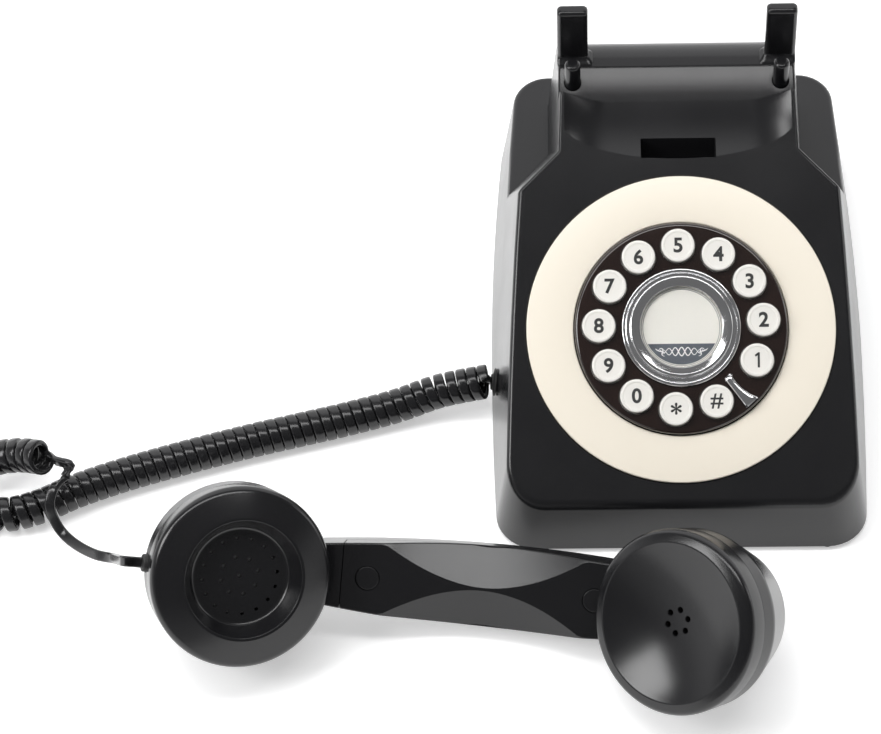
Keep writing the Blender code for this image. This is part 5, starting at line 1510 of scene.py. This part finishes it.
def split_block(grow):
    half = 29.4
    loops = []
    for x in stations(cover_start - grow, cover_end + grow, 41):
        low, high = handle_height(x) + 1.4 - grow, handle_height(x) + handle_thick
        loops.append([(x, -half, low), (x, half, low), (x, half, high), (x, -half, high)])
    return solid("split", loops)


def handle_room():
    """The hollow has a flat roof under the ridge, and slopes down to its sides under the facets."""
    roof, ridge_drop, side_drop = 7.0, 3.2, 4.2
    loops = []
    for x in stations(12.3, spacing - 12.3, 15):
        half, centre = handle_half(x) - handle_wall, handle_height(x)
        low = centre - handle_thick / 2 + handle_wall
        high = centre + handle_thick / 2 - ridge_drop * facet_share(x) - wall
        side = high - side_drop * facet_share(x)
        outline = [(-half, low), (half, low), (half, side), (roof, high), (-roof, high), (-half, side)]
        loops.append([(x, y, z) for y, z in outline])
    hollow = solid("handle_room", loops)
    for x in screw_spots:
        trimmed(hollow, rod(5.6, -17, 17, Matrix.Translation((x, 0, handle_height(x))), 24))
    return hollow


plug_low = handle_thick / 2 - 1.4
head_top = plug_low - 0.6
head_low = head_top - 1.8
bore_outline = [
    (0, head_low - 7.8),
    (1.75, head_low - 7.8),
    (1.75, head_low - gap),
    (2.95, head_low - gap),
    (2.95, plug_low - gap),
    (4.5, plug_low - gap),
    (4.5, handle_thick),
    (0, handle_thick),
]


def bores():
    made = []
    for x in screw_spots:
        bore = spun("bore", bore_outline, 56)
        bore.data.transform(Matrix.Translation((x, 0, handle_height(x))))
        made.append(bore)
    return made


print("handle stations:", handle_steps)

# %% [markdown]
# ## Handset: back shell and inner cover
# The back shell holds both cup housings and the outer half of the handle in one moulding. The housings are
# spun and joined to the handle, and then hollowed. A block along the seam keeps the two halves apart by a
# hair, which draws the thin dark line along the handle.


# %% Handset: cup housings
cap_low = -6.0


def housing(cap_radius):
    neck = cap_radius - cap_wall - gap
    seat, rear = cap_low - gap, -38.0
    outline = [(0, rear), (22.0, rear), (cup_radius, seat - 7.0), (cup_radius, seat)]
    outline += [(neck, seat), (neck, neck_top), (0, neck_top)]
    return spun("housing", rounded(outline, [0, 7.0, 7.0, 0.5, 0, 0, 0], 9), 128)


def housing_room(cap_radius):
    neck = cap_radius - cap_wall - gap - neck_wall
    outline = [(0, -35.6), (20.8, -35.6), (29.6, -13.0), (neck, -9.5), (neck, 6.0), (0, 6.0)]
    return spun("housing_room", rounded(outline, [0, 4.6, 0, 0, 0, 0], 4), 64)


def placed(piece, place):
    piece.data.transform(place)
    return piece


back = handle_solid()
trimmed(
    back,
    placed(housing(mouth_cap_radius), lean_mouth),
    placed(housing(ear_cap_radius), lean_ear),
    how="UNION",
)
trimmed(back, split_block(gap), handle_room())
trimmed(
    back,
    placed(housing_room(mouth_cap_radius), lean_mouth),
    placed(housing_room(ear_cap_radius), lean_ear),
    *bores(),
)
trimmed(back, rod(3.5, -8.4, 6, handset.inverted() @ inlet, 32))
tidied(back, 0.003)
even = back.modifiers.new("Even", "WEIGHTED_NORMAL")
even.keep_sharp = True
finished(back, "handset", cup_black, ["handset_back_shell"], handset, angle=30)
applied(back, even)
print("back shell:", len(back.data.polygons), "faces")

# %% Handset: cover and plugs
cover = trimmed(handle_solid(), split_block(0.0), how="INTERSECT")
trimmed(cover, handle_room(), *bores())
tidied(cover, 0.003)
even = cover.modifiers.new("Even", "WEIGHTED_NORMAL")
even.keep_sharp = True
finished(cover, "handset", cup_black, ["handset_cover"], handset, angle=30)
applied(cover, even)
plug_radius, plug_top = 4.2, handle_thick / 2
plug_corners = [(0, plug_low), (plug_radius, plug_low), (plug_radius, plug_top), (0, plug_top)]
plug_outline = rounded(plug_corners, [0, 0, 0.3, 0], 4)
for number, x in enumerate(screw_spots, 1):
    plug = spun(f"screw_plug_{number}_skin", plug_outline, 64)
    place = handset @ Matrix.Translation((x, 0, handle_height(x)))
    finished(plug, "handset", cup_black, [f"screw_plug_{number}"], place)
print("cover:", len(cover.data.polygons), "faces")

# %% [markdown]
# ## Handset: the caps
# Both caps are turned shapes. The mouthpiece has a broad shoulder, a thin rim and a deep recess with rings
# of small holes in its floor. The earpiece has a shallow dish with six holes. Holes are cut one by one
# through the floor.


# %% Handset: cap holes
def cap_holes(low, high, circles, radius):
    made = []
    for circle, count in circles:
        for number in range(count):
            angle = 2 * pi * (number + 0.37) / count
            place = Matrix.Translation((circle * cos(angle), circle * sin(angle), 0))
            made.append(rod(radius, low, high, place, 20))
    return made


# %% Handset: mouthpiece cap
mouth_rise, mouth_floor = 6.9, 6.9 - 7.0
under = neck_top + gap
mouth_outline = rounded(
    [
        (0, mouth_floor - cap_wall),
        (18.7, mouth_floor - cap_wall),
        (23.4, under),
        (30.6, under),
        (30.6, cap_low),
        (32.3, cap_low),
        (mouth_cap_radius, 3.0),
        (22.2, mouth_rise),
        (21.2, mouth_rise),
        (17.6, mouth_floor),
        (0, mouth_floor),
    ],
    [0, 0, 0, 0, 0, 0.4, 3.2, 0.5, 0.4, 2.2, 0],
    8,
)
mouth = spun("mic_cap_skin", mouth_outline, 160)
low, high = mouth_floor - cap_wall - 6, mouth_floor + 6
trimmed(mouth, *cap_holes(low, high, ((0.0, 1), (6.8, 8)), 0.8), *cap_holes(low, high, ((13.6, 16),), 0.7))
finished(tidied(mouth, 0.003), "handset", cup_black, ["mic_cap"], mouth_cup, angle=28)
print("mouthpiece cap:", len(mouth.data.polygons), "faces")

# %% Handset: earpiece cap
ear_rise, dish_depth, dish_radius = 4.3, 5.2, 28.2
ear_low = ear_rise - dish_depth
dish = [(dish_radius * (1 - step / 24), ear_low + dish_depth * (1 - step / 24) ** 2) for step in range(25)]
ear_outline = [
    (0, ear_low - cap_wall),
    (23.0, ear_low - cap_wall),
    (25.2, under),
    (30.8, under),
    (30.8, cap_low),
    (32.5, cap_low),
    (ear_cap_radius, 2.9),
    (28.75, ear_rise),
]
ear_rounds = [0] * 5 + [0.4, 2.8, 0.25, 0.15] + [0] * 24
ear = spun("ear_cap_skin", rounded(ear_outline + dish, ear_rounds, 8), 160)
low, high = ear_low - cap_wall - 6, ear_low + 6
trimmed(ear, *cap_holes(low, high, ((4.3, 6),), 1.15))
finished(tidied(ear, 0.003), "handset", cup_black, ["ear_cap"], ear_cup, angle=28)
print("earpiece cap:", len(ear.data.polygons), "faces")

# %% [markdown]
# ## Hidden and lesser pieces
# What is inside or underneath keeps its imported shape, and gets the finish of its kind. Nothing shows a flat
# colour when the base comes off.

# %% Finishes of the remaining nodes
sheath_black, sheath_shade = (0.009, 0.009, 0.010), (0.014, 0.014, 0.015)
cord_sheath = plastic("cord_sheath", sheath_black, sheath_shade, 0.2, spread=0.06, depth=0.3, dust=0.02)
curly_cord.data.materials.append(cord_sheath)
node_finishes = {
    "black_plastic": satin_black,
    "black_gloss": polished_black,
    "cream_plastic": cream,
    "white_plastic": button_white,
    "chrome": chrome,
    "steel": steel,
    "card": card_cream,
    "clear_plastic": window_clear,
    "rubber": rubber_black,
    "silicone": mat_grey,
    "circuit_green": board_green,
    "battery_wrap": wrap_blue,
    "cord_black": cord_sheath,
}
kept = 0
for name, piece in frame["nodes"].items():
    for slot in piece.material_slots:
        base = slot.material.name.split(".")[0]
        slot.material = node_finishes[base]
    kept += not piece.hide_render
print("nodes that keep their packed shape:", kept)
